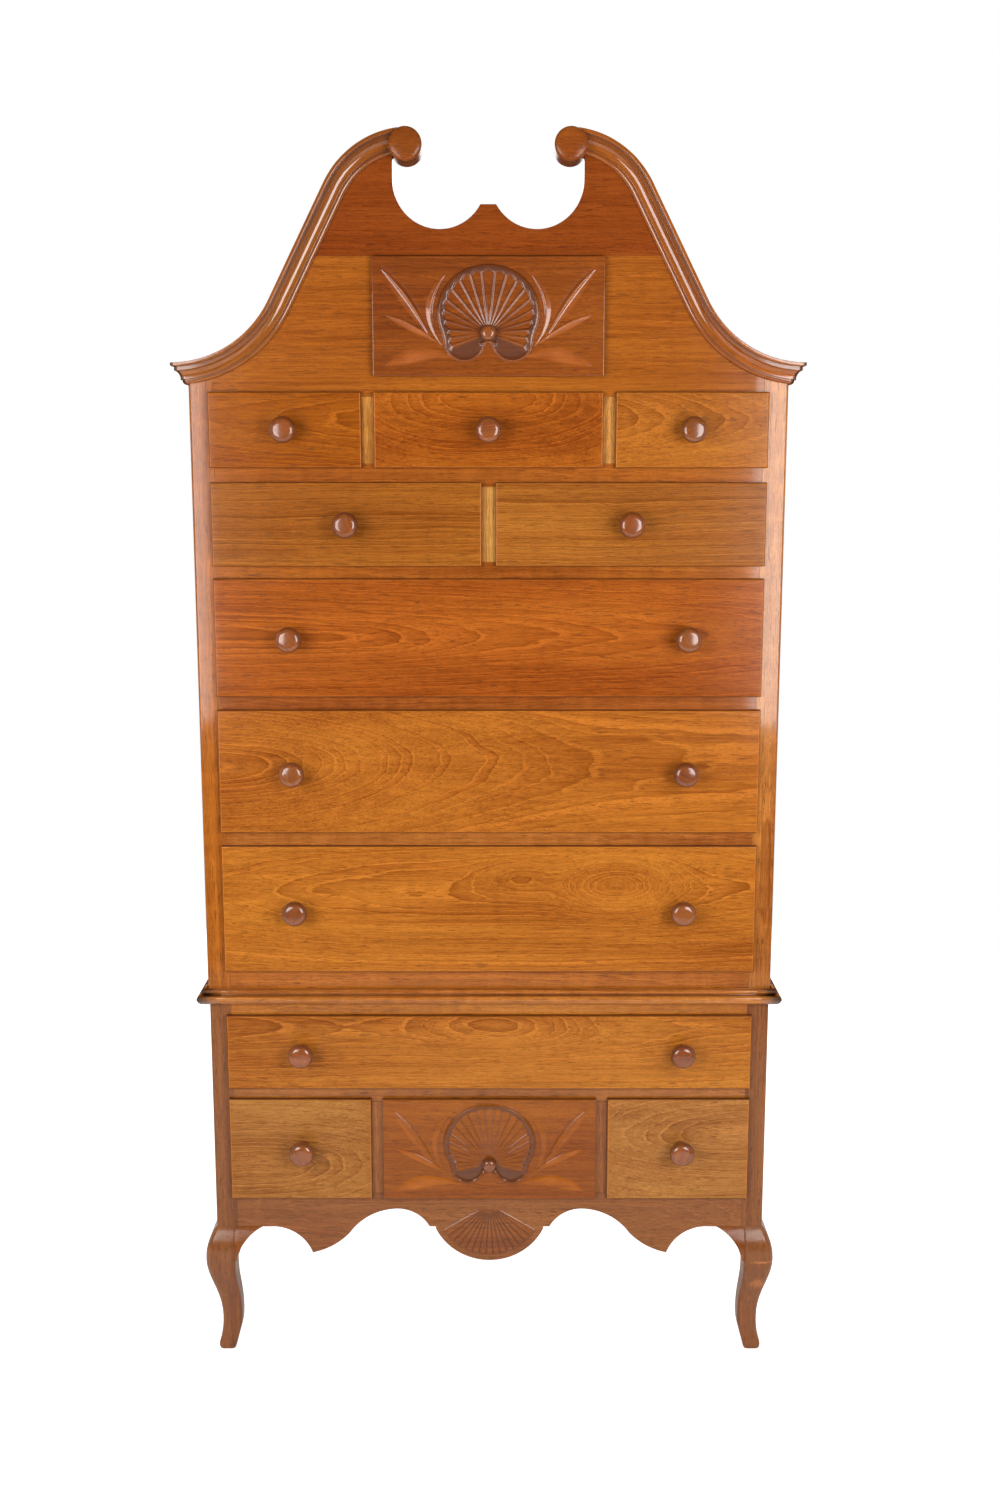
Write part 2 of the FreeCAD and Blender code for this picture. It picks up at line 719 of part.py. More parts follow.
def pediment():
    add("cornice_mouldings", pair(raking_moulding()) + pair(cornice_return()))
    rosette = rosette_cylinder()
    front_edge_of_rosette = [
        edge for edge in rosette.Edges
        if all(abs(v.Y - face_y + rosette_projection) < 0.001 for v in edge.Vertexes)
    ]
    add("scroll_rosettes", pair(rosette.makeFillet(rosette_edge_radius, front_edge_of_rosette)))

    # the whole board first: everything under the two raking curves
    p0, p1, p2, p3, p4, p5 = rake_points(cornice_height - plank_top_inset)
    steps = [
        (p2, p1), (p3, None), (p5, p4),
        ((-p5[0], p5[1]), None),
        ((-p3[0], p3[1]), (-p4[0], p4[1])), ((-p2[0], p2[1]), None), ((-p0[0], p0[1]), (-p1[0], p1[1])),
        ((-p0[0], frame_head_z), None), ((p0[0], frame_head_z), None), (p0, None),
    ]
    board = Part.Face(outline(p0, steps, on_front)).extrude(vector(0, frame_thickness, 0))
    above_stiles = block(-upper_half, upper_half, face_y, frame_rear_y, stile_top_z, scroll_top_z)
    between_stiles = block(-opening_half, opening_half, face_y, frame_rear_y, frame_head_z, stile_top_z)
    board = board.common(fused([above_stiles, between_stiles]))

    # the two round cut-outs beside the little plinth, open above
    circle = Part.makeCylinder(
        scroll_circle_radius, frame_thickness,
        vector(scroll_circle_x, face_y, scroll_circle_z), vector(0, 1, 0),
    )
    over_plinth = block(
        -scroll_circle_x, scroll_circle_x, face_y, frame_rear_y, seam_z + plinth_height, scroll_top_z
    )
    between_scrolls = block(
        -scroll_edge_x, scroll_edge_x, face_y, frame_rear_y, scroll_circle_z, scroll_top_z
    )
    for hollow in pair(circle) + [over_plinth, between_scrolls] + pair(rosette_cylinder()):
        board = board.cut(hollow)

    span = upper_half + cornice_projection
    upper_plank = board.common(block(-span, span, face_y, frame_rear_y, seam_z, scroll_top_z))
    lower_plank = board.common(block(-span, span, face_y, frame_rear_y, frame_head_z, seam_z))
    drawer_hole = block(-divider_inner, divider_inner, face_y, frame_rear_y, pediment_opening_z, seam_z)
    add("pediment_planks", [upper_plank.removeSplitter(), lower_plank.cut(drawer_hole).removeSplitter()])

    # the housing that the pediment drawer runs in, on top of the case behind the planks
    outer = divider_inner + housing_thickness
    rear_y = front_rear_y + pediment_drawer_length + drawer_rear_clearance
    side = block(divider_inner, outer, frame_rear_y, rear_y, pediment_opening_z, seam_z)
    lid = block(-outer, outer, frame_rear_y, rear_y + back_thickness, seam_z, seam_z + housing_thickness)
    back = block(-outer, outer, rear_y, rear_y + back_thickness, pediment_opening_z, seam_z)
    add("pediment_drawer_housing", pair(side) + [lid, back])


# ---------------------------------------------------------------- lower case

def apron():
    """The front apron: a fan-shaped drop between two arches, and a pointed drop beside each leg."""
    top = carved_row_z + lip_overlap
    fan_centre_z = leg_height - fan_drop + fan_radius
    fan_turn = math.asin(fan_half_width / fan_radius)
    fan_end = (fan_half_width, fan_centre_z - fan_radius * math.cos(fan_turn))
    fan_via = (
        fan_radius * math.sin(fan_turn / 2), fan_centre_z - fan_radius * math.cos(fan_turn / 2)
    )
    fan_foot = (0.0, leg_height - fan_drop)
    step_start = (fan_half_width, leg_height)
    step_end = (fan_half_width + apron_step, leg_height)
    arch_top = (arch_x, leg_height + arch_rise)
    inflection = (inflection_x, leg_height - inflection_drop)
    cusp = (cusp_x, leg_height - cusp_drop)
    knee_top = (knee_arch_x, leg_height)
    end = (opening_half, leg_height)
    half = [
        (fan_end, fan_via), (step_start, None), (step_end, None),
        (arch_top, arc_via(step_end, arch_top, arch_bow * (arch_top[0] - step_end[0]))),
        (inflection, arc_via(arch_top, inflection, arch_tail_bow * (inflection[0] - arch_top[0]))),
        (cusp, arc_via(inflection, cusp, -cusp_bow * (cusp[0] - inflection[0]))),
        (knee_top, arc_via(cusp, knee_top, knee_arch_bow * (knee_top[0] - cusp[0]))),
        (end, None), ((opening_half, top), None), ((0.0, top), None), (fan_foot, None),
    ]
    right = Part.Face(outline(fan_foot, half, on_front)).extrude(vector(0, frame_thickness, 0))
    add("front_apron", [fused(pair(right))])


def side_panel():
    """The right side of the lower case between its posts, with a lightly shaped lower edge."""
    middle = (face_y + back_y) / 2

    def place(along, z):
        return vector(lower_half - side_thickness, middle + along, z)

    shoulder = (side_shoulder_x, leg_height)
    cusp = (side_cusp_x, leg_height - side_cusp_drop)
    crown = (0.0, leg_height + side_arch_rise - side_cusp_drop / 2)
    left_cusp = (-cusp[0], cusp[1])
    left_shoulder = (-shoulder[0], shoulder[1])
    bow = side_cusp_bow * (shoulder[0] - cusp[0])
    start = (side_half_span, leg_height)
    steps = [
        (shoulder, None),
        (cusp, arc_via(shoulder, cusp, bow)),
        (left_cusp, crown),
        (left_shoulder, arc_via(left_cusp, left_shoulder, bow)),
        ((-side_half_span, leg_height), None),
        ((-side_half_span, lower_top_z), None), ((side_half_span, lower_top_z), None), (start, None),
    ]
    return Part.Face(outline(start, steps, place)).extrude(vector(side_thickness, 0, 0))


def lower_case():
    side_inner = lower_half - side_thickness
    rail_z = (carved_row_z + carved_row_height - lip_overlap, lower_wide_z + lip_overlap)
    top_rail_z = lower_wide_z + lower_wide_height - lip_overlap
    apron_top = carved_row_z + lip_overlap
    add("lower_sides", pair(side_panel()))

    front_post = rounded_upright(
        opening_half, lower_half, face_y, face_y + post_size, leg_height, lower_top_z, post_corner_radius
    )
    rear_post = block(opening_half, lower_half, back_y - post_size, back_y, leg_height, lower_top_z)
    add("lower_corner_posts", pair(front_post) + pair(rear_post))

    divider = block(divider_inner, divider_outer, face_y, frame_rear_y, apron_top, rail_z[0])
    rails = [
        block(-opening_half, opening_half, face_y, frame_rear_y, *rail_z),
        block(-opening_half, opening_half, face_y, frame_rear_y, top_rail_z, lower_top_z),
    ]
    add("lower_rails_and_dividers", rails + pair(divider))
    apron()
    back_z = leg_height + apron_step
    add("lower_back_boards", back_boards(opening_half, back_z, lower_top_z, lower_back_board_count, False))

    between_posts = (face_y + post_size, back_y - post_size)
    bearers = []
    for z0, z1 in [(apron_top - bottom_bearer_height, apron_top), rail_z]:
        bearers += end_bearers(z0, z1, between_posts, side_inner, back_front_y)
    right = middle_bearer(
        divider_inner, divider_outer, apron_top - bottom_bearer_height, apron_top, back_front_y
    )
    bearers += right + [mirrored_x(shape) for shape in right]
    kicker = block(
        divider_inner - bearer_reach, divider_outer + bearer_reach, frame_rear_y, back_front_y, *rail_z
    )
    top_kicker = block(
        opening_half - bearer_reach, opening_half, frame_rear_y, back_front_y, top_rail_z, lower_top_z
    )
    add("lower_drawer_bearers", bearers + pair(kicker) + pair(top_kicker))


# ---------------------------------------------------------------- legs

# Share of the leg's height, then how far its outer and inner faces lie outside the post's faces,
# both as shares of the knee's bulge. The knee takes the upper ones.
knee_stations = 6
leg_stations = [
    (1.0, 0.0, 0.0),
    (0.975, 0.24, 0.0),
    (0.94, 0.50, 0.0),
    (0.88, 0.80, 0.03),
    (0.80, 0.98, 0.12),
    (0.71, 0.96, 0.20),
    (0.60, 0.66, 0.18),
    (0.49, 0.24, 0.04),
    (0.38, -0.10, -0.09),
    (0.28, -0.24, -0.13),
    (0.18, -0.22, -0.04),
    (0.085, -0.02, 0.26),
    (0.013, 0.10, 0.50),
    (0.0, 0.03, 0.56),
]


def rounded_square(x0, x1, y0, y1, z, radius, outer_radius):
    """A closed level wire: a rectangle with rounded corners, the outer front one to its own radius."""
    r = radius
    k = r * (1 - math.sqrt(0.5))
    outer_k = outer_radius * (1 - math.sqrt(0.5))
    steps = [
        ((x1 - outer_radius, y0), None), ((x1, y0 + outer_radius), (x1 - outer_k, y0 + outer_k)),
        ((x1, y1 - r), None), ((x1 - r, y1), (x1 - k, y1 - k)),
        ((x0 + r, y1), None), ((x0, y1 - r), (x0 + k, y1 - k)),
        ((x0, y0 + r), None), ((x0 + r, y0), (x0 + k, y0 + k)),
    ]
    return outline((x0 + r, y0), steps, lambda x, y: vector(x, y, z))


def front_leg():
    wires = []
    for share, outer, inner in leg_stations:
        x0 = opening_half + inner * knee_bulge
        x1 = lower_half + outer * knee_bulge
        y0 = face_y - outer * knee_bulge
        y1 = face_y + post_size - inner * knee_bulge
        outer_radius = leg_corner_radius * (1 + knee_softness * outer)
        wires.append(rounded_square(x0, x1, y0, y1, share * leg_height, leg_corner_radius, outer_radius))
    return Part.makeLoft(wires, True, False)


def rear_leg():
    """Like the front leg, but flat behind so that the case can stand near a wall."""
    wires = []
    for share, outer, inner in leg_stations:
        x0 = opening_half + inner * knee_bulge
        x1 = lower_half + outer * knee_bulge
        y0 = back_y - post_size + inner * knee_bulge
        z = share * leg_height
        wires.append(rounded_square(x0, x1, y0, back_y, z, leg_corner_radius, leg_corner_radius))
    return Part.makeLoft(wires, True, False)


def knee_swell(place):
    """A face between a post's plane, set back by a bracket's thickness, and the knee's curve."""
    knee_shares = leg_stations[:knee_stations]
    stations = [(outer * knee_bulge, share * leg_height) for share, outer, inner in knee_shares]
    knee = Part.BSplineCurve()
    knee.interpolate([place(-bulge, z) for bulge, z in stations])
    top, foot = stations[0][1], stations[-1][1]
    front_foot = place(-stations[-1][0], foot)
    back_foot, back_top = place(bracket_thickness, foot), place(bracket_thickness, top)
    edges = [knee.toShape()]
    for start, end in [(front_foot, back_foot), (back_foot, back_top), (back_top, place(0.0, top))]:
        edges.append(Part.makeLine(start, end))
    return Part.Face(Part.Wire(edges))


def bracket(place, depth_way, swell):
    """A knee bracket under the apron, hollowed to lead the arch into the leg and swelling with the knee."""
    inner = (0.0, leg_height)
    foot = (bracket_width, leg_height - bracket_height)
    end = (bracket_width + bracket_lap, leg_height - bracket_height)
    corner = (bracket_width + bracket_lap, leg_height)
    steps = [
        (foot, arc_via(inner, foot, bracket_bow * bracket_width)),
        (end, None), (corner, None), (inner, None),
    ]
    reach = knee_bulge + bracket_thickness
    sawn = Part.Face(outline(inner, steps, place)).extrude(depth_way * (2 * reach))
    return sawn.common(swell)


def legs():
    front = front_leg()
    rear = rear_leg()
    add("front_legs", pair(front))
    add("rear_legs", pair(rear))

    reach = knee_bulge + bracket_thickness
    length = bracket_width + bracket_lap

    def front_place(along, z):
        return vector(opening_half - bracket_width + along, face_y - reach, z)

    def front_side_place(along, z):
        return vector(lower_half + reach, face_y + post_size + bracket_width - along, z)

    def rear_side_place(along, z):
        return vector(lower_half + reach, back_y - post_size - bracket_width + along, z)

    front_swell = knee_swell(lambda depth, z: vector(opening_half - bracket_width, face_y + depth, z))
    front_swell = front_swell.extrude(vector(length, 0, 0))
    front_side_swell = knee_swell(
        lambda depth, z: vector(lower_half - depth, face_y + post_size - bracket_lap, z)
    ).extrude(vector(0, length, 0))
    rear_side_swell = knee_swell(
        lambda depth, z: vector(lower_half - depth, back_y - post_size - bracket_width, z)
    ).extrude(vector(0, length, 0))

    pieces = []
    for piece, leg in [
        (bracket(front_place, vector(0, 1, 0), front_swell), front),
        (bracket(front_side_place, vector(-1, 0, 0), front_side_swell), front),
        (bracket(rear_side_place, vector(-1, 0, 0), rear_side_swell), rear),
    ]:
        pieces += pair(piece.cut(leg))
    add("knee_brackets", pieces)


# ---------------------------------------------------------------- build and write

all_drawers()
upper_case()
pediment()
waist_moulding()
lower_case()
legs()

os.makedirs("parts", exist_ok=True)
for name, shape in nodes.items():
    shape.exportStep("parts/" + name + ".step")
whole = Part.makeCompound(list(nodes.values())).optimalBoundingBox(False, False)
print(len(nodes), "nodes,", sum(len(shape.Solids) for shape in nodes.values()), "solids")
print("bounds X %.2f %.2f  Y %.2f %.2f  Z %.2f %.2f" % (
    whole.XMin, whole.XMax, whole.YMin, whole.YMax, whole.ZMin, whole.ZMax
))
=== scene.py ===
import math
import random
from typing import NamedTuple

import bmesh
import bpy
import numpy as np
from bpy.props import FloatProperty, FloatVectorProperty, IntProperty, PointerProperty
from bpy.types import Operator, Panel, PropertyGroup
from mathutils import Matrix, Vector


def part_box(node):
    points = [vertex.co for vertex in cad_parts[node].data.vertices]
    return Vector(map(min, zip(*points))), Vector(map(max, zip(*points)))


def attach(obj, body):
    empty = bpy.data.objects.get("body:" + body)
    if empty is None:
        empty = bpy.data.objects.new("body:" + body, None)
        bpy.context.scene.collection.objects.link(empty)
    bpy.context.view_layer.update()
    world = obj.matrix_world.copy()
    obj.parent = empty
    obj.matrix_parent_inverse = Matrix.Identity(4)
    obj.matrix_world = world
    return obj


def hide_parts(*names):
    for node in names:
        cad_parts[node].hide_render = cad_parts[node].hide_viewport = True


bl_info = {
    "name": "Scrolled Highboy",
    "version": (1, 0, 0),
    "blender": (4, 5, 0),
    "location": "3D View > Sidebar > Highboy",
    "description": "Dresses the highboy's joinery in figured wood, carving and studio light",
    "category": "Object",
}

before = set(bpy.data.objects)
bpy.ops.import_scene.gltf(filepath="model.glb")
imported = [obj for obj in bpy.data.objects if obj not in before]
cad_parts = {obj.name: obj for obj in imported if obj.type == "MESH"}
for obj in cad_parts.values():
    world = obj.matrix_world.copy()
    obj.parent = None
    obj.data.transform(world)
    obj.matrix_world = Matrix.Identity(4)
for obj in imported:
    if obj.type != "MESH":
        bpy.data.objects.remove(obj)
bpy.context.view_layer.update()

CASE = "case"
PLAIN_DRAWERS = [
    "top_left_drawer", "top_middle_drawer", "top_right_drawer",
    "second_left_drawer", "second_right_drawer",
    "third_drawer", "fourth_drawer", "fifth_drawer", "lower_wide_drawer",
    "lower_left_drawer", "lower_right_drawer",
]
CARVED_DRAWERS = ["pediment_drawer", "lower_carved_drawer"]


def low(node):
    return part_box(node)[0]


def high(node):
    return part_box(node)[1]


# ---------------------------------------------------------------- sizes taken from the joinery

SIDE_PLAY = 0.0015  # between a drawer's box and the sides of its opening
RUNNING_GAP = 0.0003  # between a drawer's box and the bearers under it
FACE_Y = low("upper_stiles").y
FRAME_REAR_Y = high("upper_stiles").y
BACK_Y = high("upper_back_boards").y
UPPER_HALF = high("upper_sides").x
LOWER_HALF = high("lower_sides").x
OPENING_HALF = high("upper_rails_and_dividers").x
LEG_TOP_Z = low("lower_corner_posts").z
CARVED_ROW_Z = low("lower_carved_drawer_front").z
WAIST_Z = low("waist_moulding").z
WAIST_HEIGHT = high("waist_moulding").z - WAIST_Z
CORNICE_Z = low("cornice_mouldings").z
SCROLL_TOP_Z = high("cornice_mouldings").z
RAKE_TIP_X = high("cornice_mouldings").x
CORNICE_PROJECTION = RAKE_TIP_X - UPPER_HALF
CORNICE_HEIGHT = 0.034
ROSETTE_RADIUS = (high("scroll_rosettes").z - low("scroll_rosettes").z) / 2
ROSETTE_X = high("scroll_rosettes").x - ROSETTE_RADIUS
ROSETTE_Z = high("scroll_rosettes").z - ROSETTE_RADIUS
ROSETTE_FRONT_Y = low("scroll_rosettes").y
ROSETTE_REAR_Y = high("scroll_rosettes").y
SEAM_Z = high("pediment_drawer_front").z + SIDE_PLAY
PEDIMENT_OPENING_Z = low("pediment_drawer_box").z - RUNNING_GAP
PEDIMENT_FOOT_Z = low("pediment_planks").z
PEDIMENT_OPENING_HALF = high("pediment_drawer_box").x + SIDE_PLAY


# ---------------------------------------------------------------- settings

WOODS = {
    # wood: label, where it is, and its colour in the pale and in the dark figure
    "front": ("Front", "the drawer fronts", (0.53, 0.160, 0.019), (0.23, 0.055, 0.005)),
    "frame": ("Frame", "stiles, rails and sides", (0.48, 0.146, 0.021), (0.20, 0.048, 0.005)),
    "plank": ("Pediment", "the upper pediment plank", (0.330, 0.071, 0.010), (0.158, 0.0275, 0.0022)),
    "carved": ("Carving", "the pediment's carved front", (0.35, 0.088, 0.012), (0.17, 0.038, 0.005)),
    "lower_carved": ("Lower carving", "the lower carved front", (0.39, 0.108, 0.011), (0.20, 0.048, 0.005)),
    "moulding": ("Moulding", "the mouldings", (0.40, 0.112, 0.014), (0.19, 0.044, 0.005)),
    "leg": ("Legs", "legs and apron", (0.34, 0.112, 0.029), (0.15, 0.045, 0.012)),
    "knob": ("Knobs", "the knobs", (0.34, 0.090, 0.017), (0.15, 0.038, 0.009)),
    "lining": ("Lining", "drawer boxes and hidden boards", (0.68, 0.44, 0.23), (0.42, 0.26, 0.12)),
}


class HighboyWood(PropertyGroup):
    """Colours of the wood under its varnish, as pale and dark figure."""

    __annotations__ = {
        wood + "_" + tone: FloatVectorProperty(
            name=label + ", " + tone, description=tone.capitalize() + " figure of " + where,
            default=colour, subtype="COLOR", size=3, min=0, max=1,
        )
        for wood, (label, where, *colours) in WOODS.items()
        for tone, colour in zip(("pale", "dark"), colours)
    }


def length(name, description, default, least, most):
    return FloatProperty(
        name=name, description=description, default=default, subtype="DISTANCE", unit="LENGTH",
        min=least, max=most,
    )


class HighboyWorkmanship(PropertyGroup):
    """Sizes of the hand work that the joinery leaves open."""

    ease: length("Eased edges", "Width of the rubbed edge on sawn boards", 0.0007, 0.0001, 0.003)
    lip_round: length("Lip rounding", "Radius round the edge of each drawer front", 0.0030, 0.0005, 0.006)
    front_cell: length("Front cell", "Mesh spacing on the plain drawer fronts", 0.010, 0.002, 0.05)
    carving_cell: length("Carving cell", "Mesh spacing inside the carved shells", 0.00074, 0.0004, 0.005)
    relief: length("Carving relief", "Height of the leaves and of the shell's rim", 0.0042, 0.0005, 0.006)
    fan_flutes: IntProperty(
        name="Fan flutes", description="Number of lobes in the apron's fan", default=15, min=5, max=25,
    )


class HighboyStudio(PropertyGroup):
    """The camera's place and the strength of the studio light."""

    distance: length("Camera distance", "From the face of the case to the camera", 2.618, 0.5, 10)
    height: length("Camera height", "Above the floor", 1.540, 0.1, 4)
    aside: length("Camera offset", "To the right of the middle of the case", 0.0184, -1, 1)
    dip: FloatProperty(
        name="Camera dip", description="Angle of the view below level",
        subtype="ANGLE", unit="ROTATION", default=math.radians(9.946), min=-0.5, max=0.8,
    )
    lens: FloatProperty(
        name="Lens", description="Focal length in millimetres on a 36 mm frame",
        subtype="DISTANCE_CAMERA", unit="CAMERA", default=38.4256, min=10, max=200,
    )
    lamps: FloatProperty(
        name="Lamps", description="Strength of the two front lamps",
        subtype="POWER", unit="POWER", default=28.0, min=0, max=500,
    )
    room: FloatProperty(
        name="Room light", description="Strength of the light that comes from all round",
        subtype="FACTOR", default=0.30, min=0, max=2,
    )


# ---------------------------------------------------------------- finishes

class Nodes:
    """A node tree, with a short call for each kind of node."""

    def __init__(self, tree):
        self.tree = tree

    def feed(self, socket, value):
        if isinstance(value, bpy.types.NodeSocket):
            self.tree.links.new(value, socket)
        else:
            socket.default_value = value

    def node(self, kind, sockets=None, **settings):
        made = self.tree.nodes.new("ShaderNode" + kind)
        for key, value in settings.items():
            setattr(made, key, value)
        for key, value in (sockets or {}).items():
            self.feed(made.inputs[key], value)
        return made

    def math(self, operation, a, b=0.0, clamp=False):
        return self.node("Math", {0: a, 1: b}, operation=operation, use_clamp=clamp).outputs[0]

    def times(self, a, b, clamp=False):
        return self.math("MULTIPLY", a, b, clamp)

    def total(self, *values, clamp=False):
        result = values[0]
        for value in values[1:-1]:
            result = self.math("ADD", result, value)
        return self.math("ADD", result, values[-1], clamp)

    def centred(self, value, share, middle=0.5):
        """A share of how far the value is from its middle."""
        return self.times(self.math("SUBTRACT", value, middle), share)

    def remap(self, value, low_from, high_from, low_to, high_to):
        return self.node("MapRange", {
            "Value": value, "From Min": low_from, "From Max": high_from, "To Min": low_to, "To Max": high_to,
        }).outputs[0]

    def vector(self, operation, a, b):
        return self.node("VectorMath", {0: a, 1: b}, operation=operation).outputs[0]

    def length(self, a):
        return self.node("VectorMath", {0: a}, operation="LENGTH").outputs["Value"]

    def attribute(self, name, output="Vector"):
        return self.node("Attribute", attribute_name=name).outputs[output]

    def here(self):
        return self.node("TexCoord").outputs["Object"]

    def noise(self, place, stretch, detail=2.0, roughness=0.5, output="Fac"):
        """Noise with its own number of cells per metre along each axis."""
        scaled = self.vector("MULTIPLY", place, stretch)
        sockets = {"Vector": scaled, "Scale": 1.0, "Detail": detail, "Roughness": roughness}
        return self.node("TexNoise", sockets).outputs[output]

    def figure(self, name, place, output="Fac"):
        along, across, detail, roughness = FIGURE[name]
        return self.noise(place, (along, across, across), detail, roughness, output)

    def ramp(self, value, stops):
        made = self.node("ValToRGB", {"Fac": value})
        ramp = made.color_ramp
        while len(ramp.elements) < len(stops):
            ramp.elements.new(0.5)
        for element, (place, level) in zip(ramp.elements, stops):
            element.position = place
            element.color = (level, level, level, 1)
        return made.outputs["Color"]

    def blend(self, share, a, b, kind="MIX"):
        return self.node("Mix", {0: share, 6: a, 7: b}, data_type="RGBA", blend_type=kind).outputs[2]


class Finish(Nodes):
    """A material, whose shader's inputs are fed by name."""

    def __init__(self, name):
        self.material = bpy.data.materials.new(name)
        self.material.use_nodes = True
        super().__init__(self.material.node_tree)
        self.inputs = self.tree.nodes["Principled BSDF"].inputs


# Figure of the wood: cells per metre along and across the trunk, detail and roughness
FIGURE = {
    "slow waver": (1.5, 8.0, 2.0, 0.5),
    "quick waver": (13.0, 44.0, 3.0, 0.55),
    "fibre": (3.6, 700.0, 3.0, 0.6),
    "streak": (1.8, 150.0, 3.0, 0.6),
    "band": (0.9, 26.0, 2.0, 0.5),
    "patch": (1.6, 6.0, 2.0, 0.5),
    "curl": (46.0, 7.0, 2.0, 0.5),
    "long dash": (40.0, 700.0, 1.0, 0.5),
    "short dash": (170.0, 1500.0, 1.0, 0.5),
    "rubbing and sheen": (30.0, 60.0, 2.0, 0.5),
    "plane marks": (9.0, 14.0, 1.0, 0.5),
}
WAVERS = (("slow waver", 0.024), ("quick waver", 0.0050))  # figures that bend the grain, and how far
SEASONS = {"Scale": 70.0, "Detail": 1.0, "Roughness": 0.5}  # wide and narrow years in turn
SEASON_DRIFT = 2.6  # years
MIDDLE_TONE = 0.45
WARM, COOL = (1.03, 1.10, 1.06, 1), (0.99, 0.90, 0.90, 1)
# Tone of a growth ring from its inner to its outer edge: a thin pale line, then darker towards its end
RING_TONE = [(0.0, 0.0), (0.10, 0.0), (0.20, 0.42), (0.60, 0.46), (0.86, 0.66), (0.97, 0.86), (1.0, 0.2)]
LONG_PORES = [(0.0, 0.0), (0.56, 0.0), (0.70, 1.0)]
SHORT_PORES = [(0.0, 0.0), (0.56, 0.0), (0.70, 0.8)]
PORES_IN_YEAR = [(0.0, 1.0), (0.45, 0.75), (1.0, 0.45)]
PORE_TONE = 0.30  # of the dark figure's colour
RUBBED_AND_LIT_TONE = 1.5  # of the pale figure's colour
# colour of old wax, also used for the painted shade in grooves, recesses, round the lips and under the knobs'
# heads
SHADE_AND_WAX = (0.030, 0.007, 0.003, 1)


